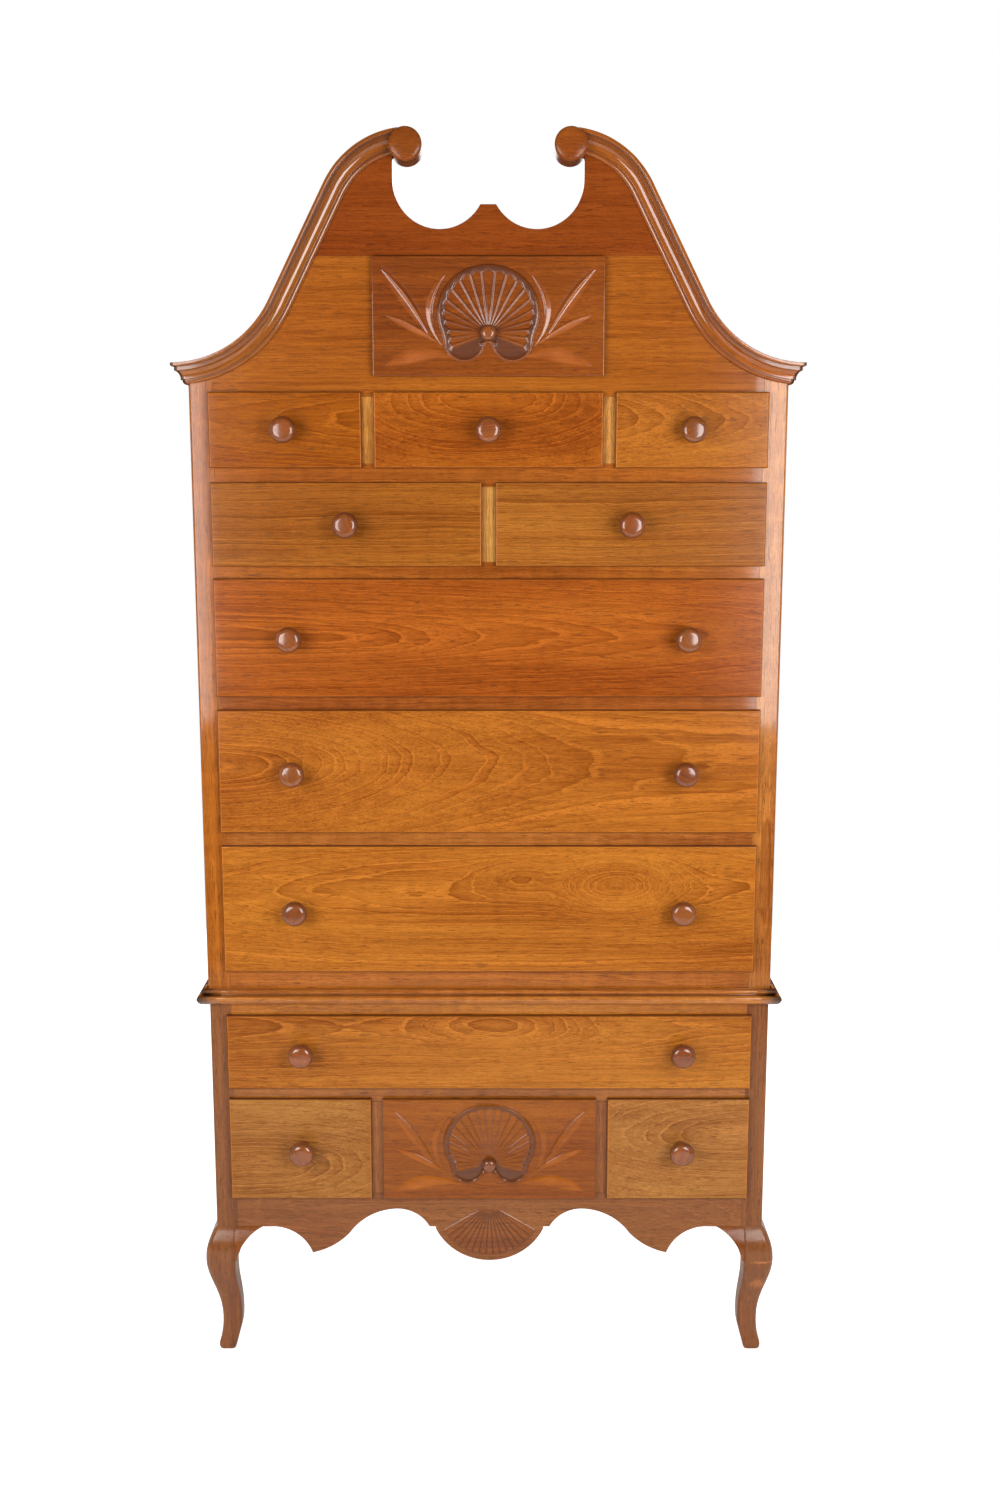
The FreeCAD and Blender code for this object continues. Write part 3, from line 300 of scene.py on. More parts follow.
def wood(name, pale, dark, ring=0.0066, rings=1.0, streaks=0.66, pores=0.7, ripple=0.15,
         gloss=(0.16, 0.04), shine=0.15, coat=(0.6, 0.04), place=None, wear=0.3, glazed=0.0, marks=()):
    """Varnished wood: growth rings about a pith, fibre streaks, pores, rubbed edges with painted highlights,
    and old wax with painted shade.

    ring is the width of a year, and rings, streaks, pores and ripple are how strongly each shows. gloss is
    the roughness and the relief of the grain, coat the weight and roughness of the varnish, and glazed how
    much more of it hollows hold. Without a place, the mesh says where each point was in its trunk."""
    f = Finish(name)
    trunk = place(f) if place else f.attribute("trunk")

    bent = trunk
    for waver, reach in WAVERS:
        offset = f.vector("SUBTRACT", f.figure(waver, trunk, "Color"), (0.5, 0.5, 0.5))
        bent = f.vector("ADD", bent, f.vector("MULTIPLY", offset, (0.0, reach, reach)))
    radius = f.length(f.vector("MULTIPLY", bent, (0.0, 1.0, 1.0)))
    seasons = f.node("TexNoise", {"W": radius, **SEASONS}, noise_dimensions="1D").outputs["Fac"]
    years = f.total(f.math("DIVIDE", radius, ring), f.times(seasons, SEASON_DRIFT))
    age = f.math("FRACT", years)
    odd = f.node("TexWhiteNoise", {"W": f.math("FLOOR", years)}, noise_dimensions="1D").outputs["Value"]
    weight = f.remap(odd, 0.0, 1.0, 0.30, 1.25)

    ring_tone = f.times(f.centred(f.ramp(age, RING_TONE), rings, 0.44), weight)
    fibre, streak, band = (f.figure(name, bent) for name in ("fibre", "streak", "band"))
    patch, curl = (f.figure(name, trunk) for name in ("patch", "curl"))
    tone = f.total(
        f.centred(fibre, 1.7 * streaks), f.centred(streak, 1.6 * streaks), f.centred(band, 0.78),
        f.centred(patch, 0.9), f.centred(curl, ripple), ring_tone, MIDDLE_TONE, clamp=True,
    )
    colour = f.blend(tone, (*pale, 1), (*dark, 1))
    warmth = f.total(f.centred(patch, 1.4), f.centred(odd, 0.35), f.centred(band, 0.8), 0.5, clamp=True)
    colour = f.blend(1.0, colour, f.blend(warmth, WARM, COOL), "MULTIPLY")
    if not place:
        colour = f.blend(1.0, colour, f.attribute("tint", "Color"), "MULTIPLY")

    # long vessels show as dark dashes, most of them in each year's early wood
    long_pore = f.ramp(f.figure("long dash", bent), LONG_PORES)
    short_pore = f.ramp(f.figure("short dash", bent), SHORT_PORES)
    pore = f.times(f.math("MAXIMUM", long_pore, short_pore), f.ramp(age, PORES_IN_YEAR))
    colour = f.blend(f.times(pore, pores), colour, (*(PORE_TONE * c for c in dark), 1))

    # paler and duller where the mesh marks wear: rubbed edges, and painted highlights and painted light on
    # lip sides, leaves and lobe edges; darker towards old wax where it marks wax: real wax in the carving's
    # ground, and painted shade in grooves, recesses, round the lips and under the knobs' heads
    edge = f.times(f.attribute("wear", "Fac"), f.figure("rubbing and sheen", trunk))
    rubbed = (*(min(1, RUBBED_AND_LIT_TONE * c) for c in pale), 1)
    colour = f.blend(f.times(edge, wear, clamp=True), colour, rubbed)
    hollow = f.attribute("hollow", "Fac")
    colour = f.blend(f.times(hollow, 0.8, clamp=True), colour, SHADE_AND_WAX)

    for at, size, strength in marks:
        here = f.here()
        away = f.length(f.vector("DIVIDE", f.vector("SUBTRACT", here, at), size))
        ragged = f.total(away, f.centred(f.noise(here, (300.0, 300.0, 700.0), 3.0), 2.4))
        colour = f.blend(f.remap(ragged, 0.7, 1.1, strength, 0.0), colour, rubbed)

    dull = f.total(
        f.centred(streak, 0.09), f.centred(patch, 0.07), f.times(pore, 0.15), f.times(edge, 0.25), gloss[0],
        f.times(hollow, 0.35), clamp=True,
    )
    grain_height = f.math("SUBTRACT", f.times(fibre, 0.35), f.times(pore, 0.9))
    fine = f.node("Bump", {"Strength": gloss[1], "Distance": 0.0004, "Height": grain_height})
    broad = f.node("Bump", {
        "Strength": 0.10, "Distance": 0.004, "Height": f.figure("plane marks", trunk),
        "Normal": fine.outputs["Normal"],
    })

    f.feed(f.inputs["Base Color"], colour)
    f.feed(f.inputs["Roughness"], dull)
    f.feed(f.inputs["Normal"], broad.outputs["Normal"])
    f.inputs["Specular IOR Level"].default_value = shine
    if glazed:
        f.feed(f.inputs["Coat Weight"], f.total(f.times(hollow, glazed), coat[0], clamp=True))
    else:
        f.inputs["Coat Weight"].default_value = coat[0]
    f.inputs["Coat Roughness"].default_value = coat[1]
    return f.material


# Scuffs on the right front leg: place, half sizes and strength
LEG_MARKS = (
    ((0.476, FACE_Y - 0.02, 0.174), (0.019, 0.05, 0.0020), 0.8),
    ((0.471, FACE_Y - 0.02, 0.129), (0.014, 0.05, 0.0090), 0.60),
)


def upright_grain(f):
    """Place in the trunk for pieces sawn with their grain upright."""
    x, y, z = f.node("SeparateXYZ", {0: f.here()}).outputs
    return f.node("CombineXYZ", {0: z, 1: x, 2: y}).outputs[0]


BARE = (0.0, 0.1)  # a varnish that adds no coat of its own
LOOKS = {
    # look: name of its material, its colours, and where it differs from other wood
    "front": ("front wood", "front", {"coat": BARE, "wear": 0.8}),
    "frame": ("frame wood", "frame", {"rings": 0.45, "ripple": 0.6, "coat": (0.75, 0.07)}),
    "plank": ("upper plank wood", "plank", {"rings": 0.4}),
    "calm": ("calm front wood", "front", {"rings": 0.35, "streaks": 0.75}),
    "carved": ("carved wood", "carved", {
        "rings": 0.45, "gloss": (0.14, 0.03), "wear": 0.9, "shine": 0.4, "coat": (0.7, 0.05), "glazed": 0.6,
    }),
    "lower carved": ("lower carved wood", "lower_carved", {
        "rings": 0.5, "gloss": (0.15, 0.03), "wear": 0.9, "coat": (0.3, 0.06), "glazed": 1.6,
    }),
    "moulding": ("moulding wood", "moulding", {
        "rings": 0.3, "gloss": (0.15, 0.04), "shine": 0.4, "coat": (1.0, 0.07),
    }),
    "rosette": ("rosette wood", "carved", {"rings": 0.3, "gloss": (0.2, 0.04), "shine": 0.3, "coat": BARE}),
    "apron": ("apron wood", "leg", {"rings": 0.5, "gloss": (0.13, 0.04), "shine": 0.38, "coat": BARE}),
    "leg": ("leg wood", "leg", {
        "rings": 0.45, "gloss": (0.22, 0.06), "shine": 0.4, "coat": (0.2, 0.12),
        "place": upright_grain, "marks": LEG_MARKS,
    }),
    "knob": ("knob wood", "knob", {
        "ring": 0.003, "rings": 0.4, "gloss": (0.22, 0.03), "coat": (0.9, 0.10), "shine": 0.45,
    }),
    "lining": ("drawer lining wood", "lining", {
        "rings": 0.5, "pores": 0.2, "gloss": (0.62, 0.10), "shine": 0.3, "coat": BARE,
    }),
}
finishes = {}


def finish(look):
    """The look's material, made when it is first asked for."""
    if look not in finishes:
        name, key, recipe = LOOKS[look]
        colours = bpy.context.scene.highboy_wood
        pale, dark = getattr(colours, key + "_pale"), getattr(colours, key + "_dark")
        finishes[look] = wood(name, pale, dark, **recipe)
    return finishes[look]


# ---------------------------------------------------------------- how a board lies in its trunk

class Cut(NamedTuple):
    """Where a board was sawn: depth of its face from the pith, and how the pith line leans and bows."""

    depth: float
    offset: float = 0.0
    slope: float = 0.0
    bow: float = 0.0
    shift: float = 0.0
    eyes: tuple = ()  # of swirls: (along, across, rise, half length, half width)
    tint: tuple = (1.0, 1.0, 1.0)  # of the board beside others of its kind

    def places(self, points, axes, origin):
        """Points of the board in its trunk: along the pith, across it, and out from it."""
        along, across, thick = (points[:, axis] - origin[axis] for axis in axes)
        depth = self.depth + thick + self.slope * along + self.bow * along ** 2
        for at, up, rise, half_length, half_width in self.eyes:
            depth = depth + rise * np.exp(
                -((along - at) / half_length) ** 2 - ((across - up) / half_width) ** 2
            )
        return np.stack([along + self.shift, across - self.offset, depth], axis=1)


# How much paler or darker single boards of the frame are than their neighbours
BOARD_TINTS = {
    "upper_rails_and_dividers 0": (0.97, 0.92, 0.80),
    "upper_rails_and_dividers 1": (1.07, 1.18, 1.6),
    "upper_rails_and_dividers 2": (0.92, 0.89, 1.05),
    "upper_rails_and_dividers 3": (1.08, 1.02, 0.92),
    "upper_rails_and_dividers 4": (0.98, 0.94, 0.9),
    "upper_rails_and_dividers 5": (1.40, 2.0, 2.9),
    "upper_rails_and_dividers 6": (1.34, 1.9, 3.2),
    "upper_rails_and_dividers 7": (1.50, 2.3, 4.0),
    "upper_stiles 0": (0.96, 0.92, 0.74),
    "upper_stiles 1": (1.20, 1.42, 1.9),
    # painted light: this rail is tinted paler to lift the shade that the waist moulding casts on the rail
    # below it
    "lower_rails_and_dividers 1": (1.20, 1.32, 1.0),
    "lower_rails_and_dividers 2": (0.78, 0.75, 0.68),
    "lower_rails_and_dividers 3": (0.85, 0.80, 0.62),
    "waist front": (1.48, 1.78, 2.3),
}


def common_cut(key):
    """An ordinary board's own cut, the same each time for the same key."""
    draw = random.Random(key)
    strength, redness = draw.uniform(0.92, 1.08), draw.uniform(-0.07, 0.07)
    return Cut(
        depth=draw.uniform(0.03, 0.12), offset=draw.uniform(-0.03, 0.03),
        slope=draw.uniform(-0.02, 0.02), shift=draw.uniform(0.0, 6.0),
        tint=[own * part for own, part in zip(
            BOARD_TINTS.get(key, (1.0, 1.0, 1.0)),
            (strength, strength * (1 - redness), strength * (1 - 1.5 * redness)),
        )],
    )


# ---------------------------------------------------------------- mesh building

class Mesh:
    """Points and faces of one piece. Each point has its place in the trunk, a tint, wear with painted
    highlights, and old wax with painted shade.
    """

    def __init__(self):
        self.count = 0
        self.faces = []
        self.layers = {"points": [], "trunk": [], "tint": [], "wear": [], "hollow": []}

    def add(self, points, faces, trunk, tint, wear=None, hollow=None):
        self.faces += [tuple(int(i) + self.count for i in face) for face in faces]
        self.count += len(points)
        none = np.zeros(len(points))
        wear = none if wear is None else wear
        hollow = none if hollow is None else hollow
        tints = np.tile(tint, (len(points), 1))
        for parts, values in zip(self.layers.values(), (points, trunk, tints, wear, hollow)):
            parts.append(values)

    def piece(self, name, body, look, replaced=()):
        """Make the object, put it on its body and hide the parts that it stands for."""
        layers = {key: np.concatenate(parts) for key, parts in self.layers.items()}
        mesh = bpy.data.meshes.new(name)
        mesh.from_pydata(layers.pop("points").tolist(), [], self.faces)
        mesh.polygons.foreach_set("use_smooth", [True] * len(mesh.polygons))
        for key, values in layers.items():
            kind, field = ("FLOAT_VECTOR", "vector") if values.ndim == 2 else ("FLOAT", "value")
            layer = mesh.attributes.new(key, kind, "POINT")
            layer.data.foreach_set(field, values.astype(np.float32).ravel())
        mesh.materials.append(finish(look))
        made = placed(name, mesh)
        flatten = made.modifiers.new("flat faces stay flat", "WEIGHTED_NORMAL")
        flatten.weight = 80
        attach(made, body)
        if replaced:
            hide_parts(*replaced)
        return made


def placed(name, data, place=(0, 0, 0)):
    """An object that holds the data, in the scene."""
    made = bpy.data.objects.new(name, data)
    bpy.context.scene.collection.objects.link(made)
    made.location = place
    return made


def solids_of(node):
    """The node's separate solids as (points, faces): a solid is complete when no edge is left open."""
    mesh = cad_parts[node].data
    places = [tuple(round(c, 6) for c in vertex.co) for vertex in mesh.vertices]
    solids = []
    points, faces, open_edges = {}, [], set()
    for polygon in mesh.polygons:
        corners = [points.setdefault(places[i], len(points)) for i in polygon.vertices]
        if len(set(corners)) < len(corners):
            continue
        faces.append(corners)
        for a, b in zip(corners, corners[1:] + corners[:1]):
            if (b, a) in open_edges:
                open_edges.remove((b, a))
            else:
                open_edges.add((a, b))
        if not open_edges:
            solids.append((list(points), faces))
            points, faces = {}, []
    return solids


SHARP = math.radians(25)  # an edge or corner that turns more than this is eased
FLAT = math.radians(0.4)  # faces that turn less than this are joined
STILE_ROUND = 0.003  # of the stiles' outer arrises
NEAR = 0.0005  # how far off its nominal place an edge may lie


def begun(points, faces):
    """The solid as a mesh that can be worked on."""
    work = bmesh.new()
    made = [work.verts.new(point) for point in points]
    for face in faces:
        work.faces.new([made[i] for i in face])
    return work


def bevel(work, edges, width, segments=2):
    bmesh.ops.bevel(
        work, geom=edges, offset=width, offset_type="OFFSET", segments=segments, profile=0.5,
        affect="EDGES", clamp_overlap=True,
    )


def finished(work):
    """Points and faces of the solid that was worked on."""
    work.verts.index_update()
    points = np.array([vertex.co for vertex in work.verts])
    faces = [[vertex.index for vertex in face.verts] for face in work.faces]
    work.free()
    return points, faces


def eased(points, faces, ease, corner_x=None):
    """The solid with flat faces joined and sharp edges eased. Upright front arrises at corner_x on either
    side of the middle are rounded further."""
    work = begun(points, faces)
    bmesh.ops.dissolve_limit(work, angle_limit=FLAT, verts=work.verts, edges=work.edges)
    if corner_x:
        outer = [
            edge for edge in work.edges
            if all(abs(abs(v.co.x) - corner_x) < NEAR and v.co.y < FACE_Y + NEAR for v in edge.verts)
        ]
        bevel(work, outer, STILE_ROUND, 5)
    sharp = [edge for edge in work.edges if edge.is_manifold and edge.calc_face_angle() > SHARP]
    if sharp:
        bevel(work, sharp, ease)
    return finished(work)


def dressed(node, body, look, ease, corner_x=None):
    """A piece with the node's solids, their edges eased and each with its own grain along its length."""
    mesh = Mesh()
    for number, (points, faces) in enumerate(solids_of(node)):
        co, out = eased(points, faces, ease, corner_x)
        thick, across, along = np.argsort(co.max(0) - co.min(0))
        cut = common_cut("%s %d" % (node, number))
        trunk = cut.places(co, (along, across, thick), (co.max(0) + co.min(0)) / 2)
        mesh.add(co, out, trunk, cut.tint)
    return mesh.piece(node + "_boards", body, look, [node])


# ---------------------------------------------------------------- flat outlines

def arc(start, via, end, count):
    """Points after start on the arc through via to end."""
    (ax, ay), (bx, by), (cx, cy) = start, via, end
    d = 2 * (ax * (by - cy) + bx * (cy - ay) + cx * (ay - by))
    ux = ((ax * ax + ay * ay) * (by - cy) + (bx * bx + by * by) * (cy - ay)
          + (cx * cx + cy * cy) * (ay - by)) / d
    uy = ((ax * ax + ay * ay) * (cx - bx) + (bx * bx + by * by) * (ax - cx)
          + (cx * cx + cy * cy) * (bx - ax)) / d
    radius = math.hypot(ax - ux, ay - uy)
    first, middle, last = (math.atan2(y - uy, x - ux) for x, y in (start, via, end))
    turn = (last - first) % (2 * math.pi)
    if (middle - first) % (2 * math.pi) > turn:
        turn -= 2 * math.pi
    return [
        (ux + radius * math.cos(first + turn * i / count), uy + radius * math.sin(first + turn * i / count))
        for i in range(1, count + 1)
    ]


def bowed(start, end, share, count=14):
    """Points after start on an arc to end that bows to the left by a share of the way across."""
    chord = math.hypot(end[0] - start[0], end[1] - start[1])
    sagitta = share * (end[0] - start[0])
    middle = (
        (start[0] + end[0]) / 2 - (end[1] - start[1]) / chord * sagitta,
        (start[1] + end[1]) / 2 + (end[0] - start[0]) / chord * sagitta,
    )
    return arc(start, middle, end, count)


def softened(points, radius):
    """The line with each sharp corner between its ends rounded by a small arc."""
    out = [points[0]]
    for (px, py), (x, y), (nx, ny) in zip(points, points[1:], points[2:]):
        before, after = math.hypot(px - x, py - y), math.hypot(nx - x, ny - y)
        turn = math.remainder(math.atan2(ny - y, nx - x) - math.atan2(y - py, x - px), 2 * math.pi)
        if abs(turn) < SHARP:
            out.append((x, y))
            continue
        reach = min(radius, 0.4 * before, 0.4 * after)
        start = (x + (px - x) / before * reach, y + (py - y) / before * reach)
        end = (x + (nx - x) / after * reach, y + (ny - y) / after * reach)
        for t in (0.0, 0.33, 0.67, 1.0):
            near, middle, far = (1 - t) ** 2, 2 * t * (1 - t), t * t
            out.append((
                near * start[0] + middle * x + far * end[0], near * start[1] + middle * y + far * end[1],
            ))
    return out + [points[-1]]


def outline_board(mesh, outline, cut, middle_z, ease):
    """Add a board as thick as the frame, with this front outline and level grain, to the mesh."""
    count = len(outline)
    points = [(x, y, z) for y in (FACE_Y, FRAME_REAR_Y) for x, z in outline]
    faces = [tuple(range(count)), tuple(reversed(range(count, 2 * count)))]
    faces += [(i, (i + 1) % count, count + (i + 1) % count, count + i) for i in range(count)]
    work = begun(points, faces)
    bmesh.ops.recalc_face_normals(work, faces=work.faces)
    bevel(work, [edge for edge in work.edges if edge.calc_face_angle() > SHARP], ease)
    co, out = finished(work)
    mesh.add(co, out, cut.places(co, (0, 2, 1), (0.0, FACE_Y, middle_z)), cut.tint)


# ---------------------------------------------------------------- drawer fronts

LIP_THICKNESS = 0.009
BODY_RISE = 0.0035  # of the board behind a lip over its drawer's box
EDGE_SHADE = 0.7  # painted shade: how dark the outer edge and the sides of a lip are painted, for the shadow line round it


def stations(start, end, step, rim):
    """Places from start to end about a step apart, with the rounded rims resolved at both ends."""
    rims = [rim * (1 - math.cos(math.radians(a))) for a in (0, 22, 44, 66, 90)]
    count = max(2, round((end - start - 2 * rim) / step))
    middle = [start + rim + (end - start - 2 * rim) * i / count for i in range(1, count)]
    return np.array([start + r for r in rims] + middle + [end - r for r in reversed(rims)])


def grid_faces(columns, rows):
    """Quads over a grid of points, and its border, which runs the same way round."""
    index = np.arange(columns * rows).reshape(columns, rows)
    quads = np.stack([index[:-1, :-1], index[1:, :-1], index[1:, 1:], index[:-1, 1:]], axis=2).reshape(-1, 4)
    return quads, [*index[:, 0], *index[-1, 1:], *index[-2::-1, -1], *index[0, -2:0:-1]]


def front_slab(mesh, corner, opposite, xs, zs, cut, rim, relief=None, hollow=None, worn_and_lit=None):
    """Add a drawer front's lipped board, whose face is a fine grid with a rounded rim."""
    x, z = np.meshgrid(xs, zs, indexing="ij")
    from_side = np.minimum(x - corner.x, opposite.x - x)
    near = np.clip(rim - np.minimum.reduce([from_side, z - corner.z, opposite.z - z]), 0, rim)
    y = corner.y + rim - np.sqrt(rim ** 2 - near ** 2)
    if relief is not None:
        y = y - relief
    quads, border = grid_faces(*x.shape)
    face = np.stack([x, y, z], axis=2).reshape(-1, 3)
    rear = face[border].copy()
    rear[:, 1] = opposite.y
    first = len(face)
    ring = list(range(first, first + len(border)))
    sides = zip(border, ring, ring[1:] + ring[:1], border[1:] + border[:1])
    points = np.concatenate([face, rear])
    # the rim is paler from rubbed wear and from a painted highlight that is strongest on the upright sides;
    # its outer edge and the lip's sides are painted darker, as painted shade for the shadow line round the
    # lip
    wear, dark = np.zeros(len(points)), np.full(len(points), EDGE_SHADE)
    wear[:first] = ((near > 0.2 * rim) * (0.35 + 0.65 * (from_side < rim))).ravel()
    dark[:first] = (EDGE_SHADE * np.clip(near / rim - 0.4, 0, 0.3) / 0.3).ravel()
    if relief is not None:
        wear[:first] = np.maximum(0.3 * wear[:first], worn_and_lit.ravel())
        dark[:first] = np.maximum(dark[:first], hollow.ravel())
    faces = quads.tolist() + list(sides) + [ring[::-1]]
    origin = ((corner.x + opposite.x) / 2, corner.y, (corner.z + opposite.z) / 2)
    mesh.add(points, faces, cut.places(points, (0, 2, 1), origin), cut.tint, wear, dark)


FRONT_CUTS = {
    # drawer: depth, offset, slope, bow, shift, swirls, tint
    "top_left_drawer": Cut(0.060, 0.020, -0.06, 0.00, 0.7, (), (0.83, 0.76, 0.48)),
    "top_middle_drawer": Cut(0.050, 0.050, 0.02, 0.9, 1.9, (), (0.92, 0.83, 0.70)),
    "top_right_drawer": Cut(0.050, 0.016, 0.16, 0.00, 3.1, (), (0.90, 0.93, 1.0)),
    "second_left_drawer": Cut(0.10, 0.22, 0.006, 0.00, 4.3, (), (0.83, 0.91, 1.0)),
    "second_right_drawer": Cut(0.11, 0.24, -0.006, 0.00, 5.2, (), (0.82, 0.91, 1.15)),
    "third_drawer": Cut(
        0.050, 0.004, 0.045, 0.02, 0.2, ((-0.20, 0.0, -0.008, 0.12, 0.03),), (0.87, 0.73, 0.75),
    ),
    "fourth_drawer": Cut(0.150, 0.012, 0.0, 0.0, 2.6, ((-0.50, 0.0, -0.128, 0.42, 0.5),), (0.99, 1.03, 1.1)),
    "fifth_drawer": Cut(
        0.080, 0.043, -0.01, 0.1, 3.7,
        ((0.217, 0.043, -0.060, 0.085, 0.045), (0.05, 0.055, -0.022, 0.06, 0.03)), (1.05, 1.13, 1.2),
    ),
    # besides each board's own tone, the tints of the lowest fronts are bluer and greyer, as a painted
    # reflection of the pale floor in their varnish
    "lower_wide_drawer": Cut(
        0.070, 0.045, 0.03, 0.0, 5.8, ((0.02, 0.05, -0.040, 0.14, 0.05),), (1.04, 1.17, 1.35),
    ),
    "lower_left_drawer": Cut(0.050, -0.03, 0.10, 0.60, 1.2, (), (0.94, 1.28, 2.5)),
    "lower_right_drawer": Cut(0.055, 0.03, -0.12, 0.50, 4.9, (), (0.96, 1.29, 2.75)),
    "pediment_drawer": Cut(0.085, 0.05, 0.010, 0.00, 2.2),
    "lower_carved_drawer": Cut(0.075, -0.04, 0.020, 0.00, 0.9),
}


def front_piece(drawer, xs, zs, rim, ease, slot, look, *carving):
    """A drawer's front: the lipped slab, and behind it the thinner board that fills the opening."""
    node = drawer + "_front"
    front, front_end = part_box(node)
    box, box_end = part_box(drawer + "_box")
    lip_rear_y = front.y + LIP_THICKNESS
    mesh = Mesh()
    lip_end = Vector((front_end.x, lip_rear_y, front_end.z))
    front_slab(mesh, front, lip_end, xs, zs, FRONT_CUTS[drawer], rim, *carving)
    top = min(box_end.z + BODY_RISE, front_end.z)
    points = [
        (x, y, z) for x in (box.x, box_end.x) for y in (lip_rear_y, front_end.y) for z in (box.z, top)
    ]
    faces = [(0, 1, 3, 2), (4, 6, 7, 5), (0, 4, 5, 1), (2, 3, 7, 6), (0, 2, 6, 4), (1, 5, 7, 3)]
    co, out = eased(points, faces, ease)
    cut = common_cut(drawer + " body")
    mesh.add(co, out, cut.places(co, (0, 2, 1), (co.max(0) + co.min(0)) / 2), cut.tint)
    return mesh.piece(node + "_board", drawer, look, [node])


def plain_front(drawer, settings):
    corner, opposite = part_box(drawer + "_front")
    rim = settings.lip_round
    xs, zs = (stations(corner[axis], opposite[axis], settings.front_cell, rim) for axis in (0, 2))
    return front_piece(drawer, xs, zs, rim, settings.ease, "front_wood", "front")


def smoothstep(low_edge, high_edge, value):
    t = np.clip((value - low_edge) / (high_edge - low_edge), 0, 1)
    return t * t * (3 - 2 * t)


# ---------------------------------------------------------------- turned knobs

# Of a pull's radius or projection: foot radius, neck radius, neck reach, rim radius
KNOB_SHARES = (0.59, 0.40, 0.25, 0.52)
BOSS_SHARES = (0.73, 0.60, 0.16, 0.62)
FOOT_SINK = 0.0005  # of a pull's foot into its drawer's front
FACE_TILT = math.radians(6)  # of the domed face where it runs into the rim
UNDER_RIM = math.radians(50)  # how far the rim runs round below its widest part
AROUND = 64  # steps round a pull


def pull_section(radius, projection, shares):
    """Section of a pull as (radius, reach out from the drawer), from its foot to the middle of its face."""
    foot, neck, rim = shares[0] * radius, shares[1] * radius, shares[3] * radius
    neck_reach = shares[2] * projection
    rim_x = radius - rim
    dome = (rim_x + rim * math.sin(FACE_TILT)) / math.sin(FACE_TILT)
    rim_y = projection - dome * (1 - math.cos(FACE_TILT)) - rim * math.cos(FACE_TILT)
    under = (rim_x + rim * math.cos(UNDER_RIM), rim_y - rim * math.sin(UNDER_RIM))
    belly = ((neck + under[0]) / 2 - 0.06 * radius, (neck_reach + under[1]) / 2 + 0.04 * radius)
    line = [(foot, -FOOT_SINK), (foot, 0.03 * projection), (0.97 * foot, 0.045 * projection)]
    line += bowed(line[-1], (neck, neck_reach), 0.12, 6)
    line += arc(line[-1], belly, under, 8)
    for degrees in range(-42, 87, 8):
        turn = math.radians(degrees)
        line.append((rim_x + rim * math.cos(turn), rim_y + rim * math.sin(turn)))
    for share in (0.85, 0.7, 0.5, 0.3, 0.12):
        tilt = FACE_TILT * share
        line.append((dome * math.sin(tilt), projection - dome * (1 - math.cos(tilt))))
    return line


def turned(x, z, section, around):
    """Points and faces turned about a level axis from a section of (radius, y), which runs to the front."""
    turns = np.arange(around) * 2 * math.pi / around
    points = np.concatenate([
        np.stack([x + r * np.cos(turns), np.full(around, y), z + r * np.sin(turns)], axis=1)
        for r, y in section
    ])
    faces = [
        (i + k, i + (k + 1) % around, i + around + (k + 1) % around, i + around + k)
        for i in range(0, len(points) - around, around) for k in range(around)
    ]
    return points, faces


def turned_pulls(drawer):
    """Replace a drawer's turned pull or pair of pulls."""
    node = next(drawer + kind for kind in ("_knob", "_knobs", "_boss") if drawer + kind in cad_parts)
    corner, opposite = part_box(node)
    radius = (opposite.z - corner.z) / 2
    lip_y = low(drawer + "_front").y
    z = (corner.z + opposite.z) / 2
    shares = BOSS_SHARES if node.endswith("_boss") else KNOB_SHARES
    section = [(r, lip_y - reach) for r, reach in pull_section(radius, lip_y - corner.y, shares)]
    mesh = Mesh()
    for x in [corner.x + radius, opposite.x - radius][:2 if node.endswith("_knobs") else 1]:
        points, faces = turned(x, z, section, AROUND)
        last = len(points) - AROUND
        points = np.concatenate([points, [(x, corner.y, z)]])
        faces += [(last + k, last + (k + 1) % AROUND, len(points) - 1) for k in range(AROUND)]
        faces.append(tuple(range(AROUND))[::-1])
        cut = common_cut("%s %.2f" % (node, x))
        turn = random.Random(node + str(x > 0)).uniform(0, math.pi)
        aside, up, out = points[:, 0] - x, points[:, 2] - z, lip_y - points[:, 1]
        level = aside * math.cos(turn) + up * math.sin(turn)
        upright = up * math.cos(turn) - aside * math.sin(turn)
        places = cut.places(np.stack([level, upright, -out], axis=1), (0, 1, 2), (0.0, 0.0, 0.0))
        # painted shade: the rim of the knob's face and the neck and underside of its head are painted darker
        rim_shade = 0.55 * smoothstep(0.74, 0.97, np.hypot(aside, up) / radius)
        neck_shade = 0.55 * (out < 0.5 * (lip_y - corner.y))
        mesh.add(points, faces, places, cut.tint, None, np.clip(rim_shade + neck_shade, 0, 0.6))
    return mesh.piece(node + "_turned", drawer, "knob", [node])


# ---------------------------------------------------------------- carving, in millimetres from the hub

MM = 0.001
HUB_SHARE = 0.36  # of a carved front's height, from its lower edge to the hub
FINE_MARGIN = 0.004  # beside the shell, where the mesh is still as fine as in it
WIDE_CELL = 1.6  # carving cells, between the columns of the mesh beside the shell
ROW_CELL = 1.08  # carving cells, between the rows of the mesh


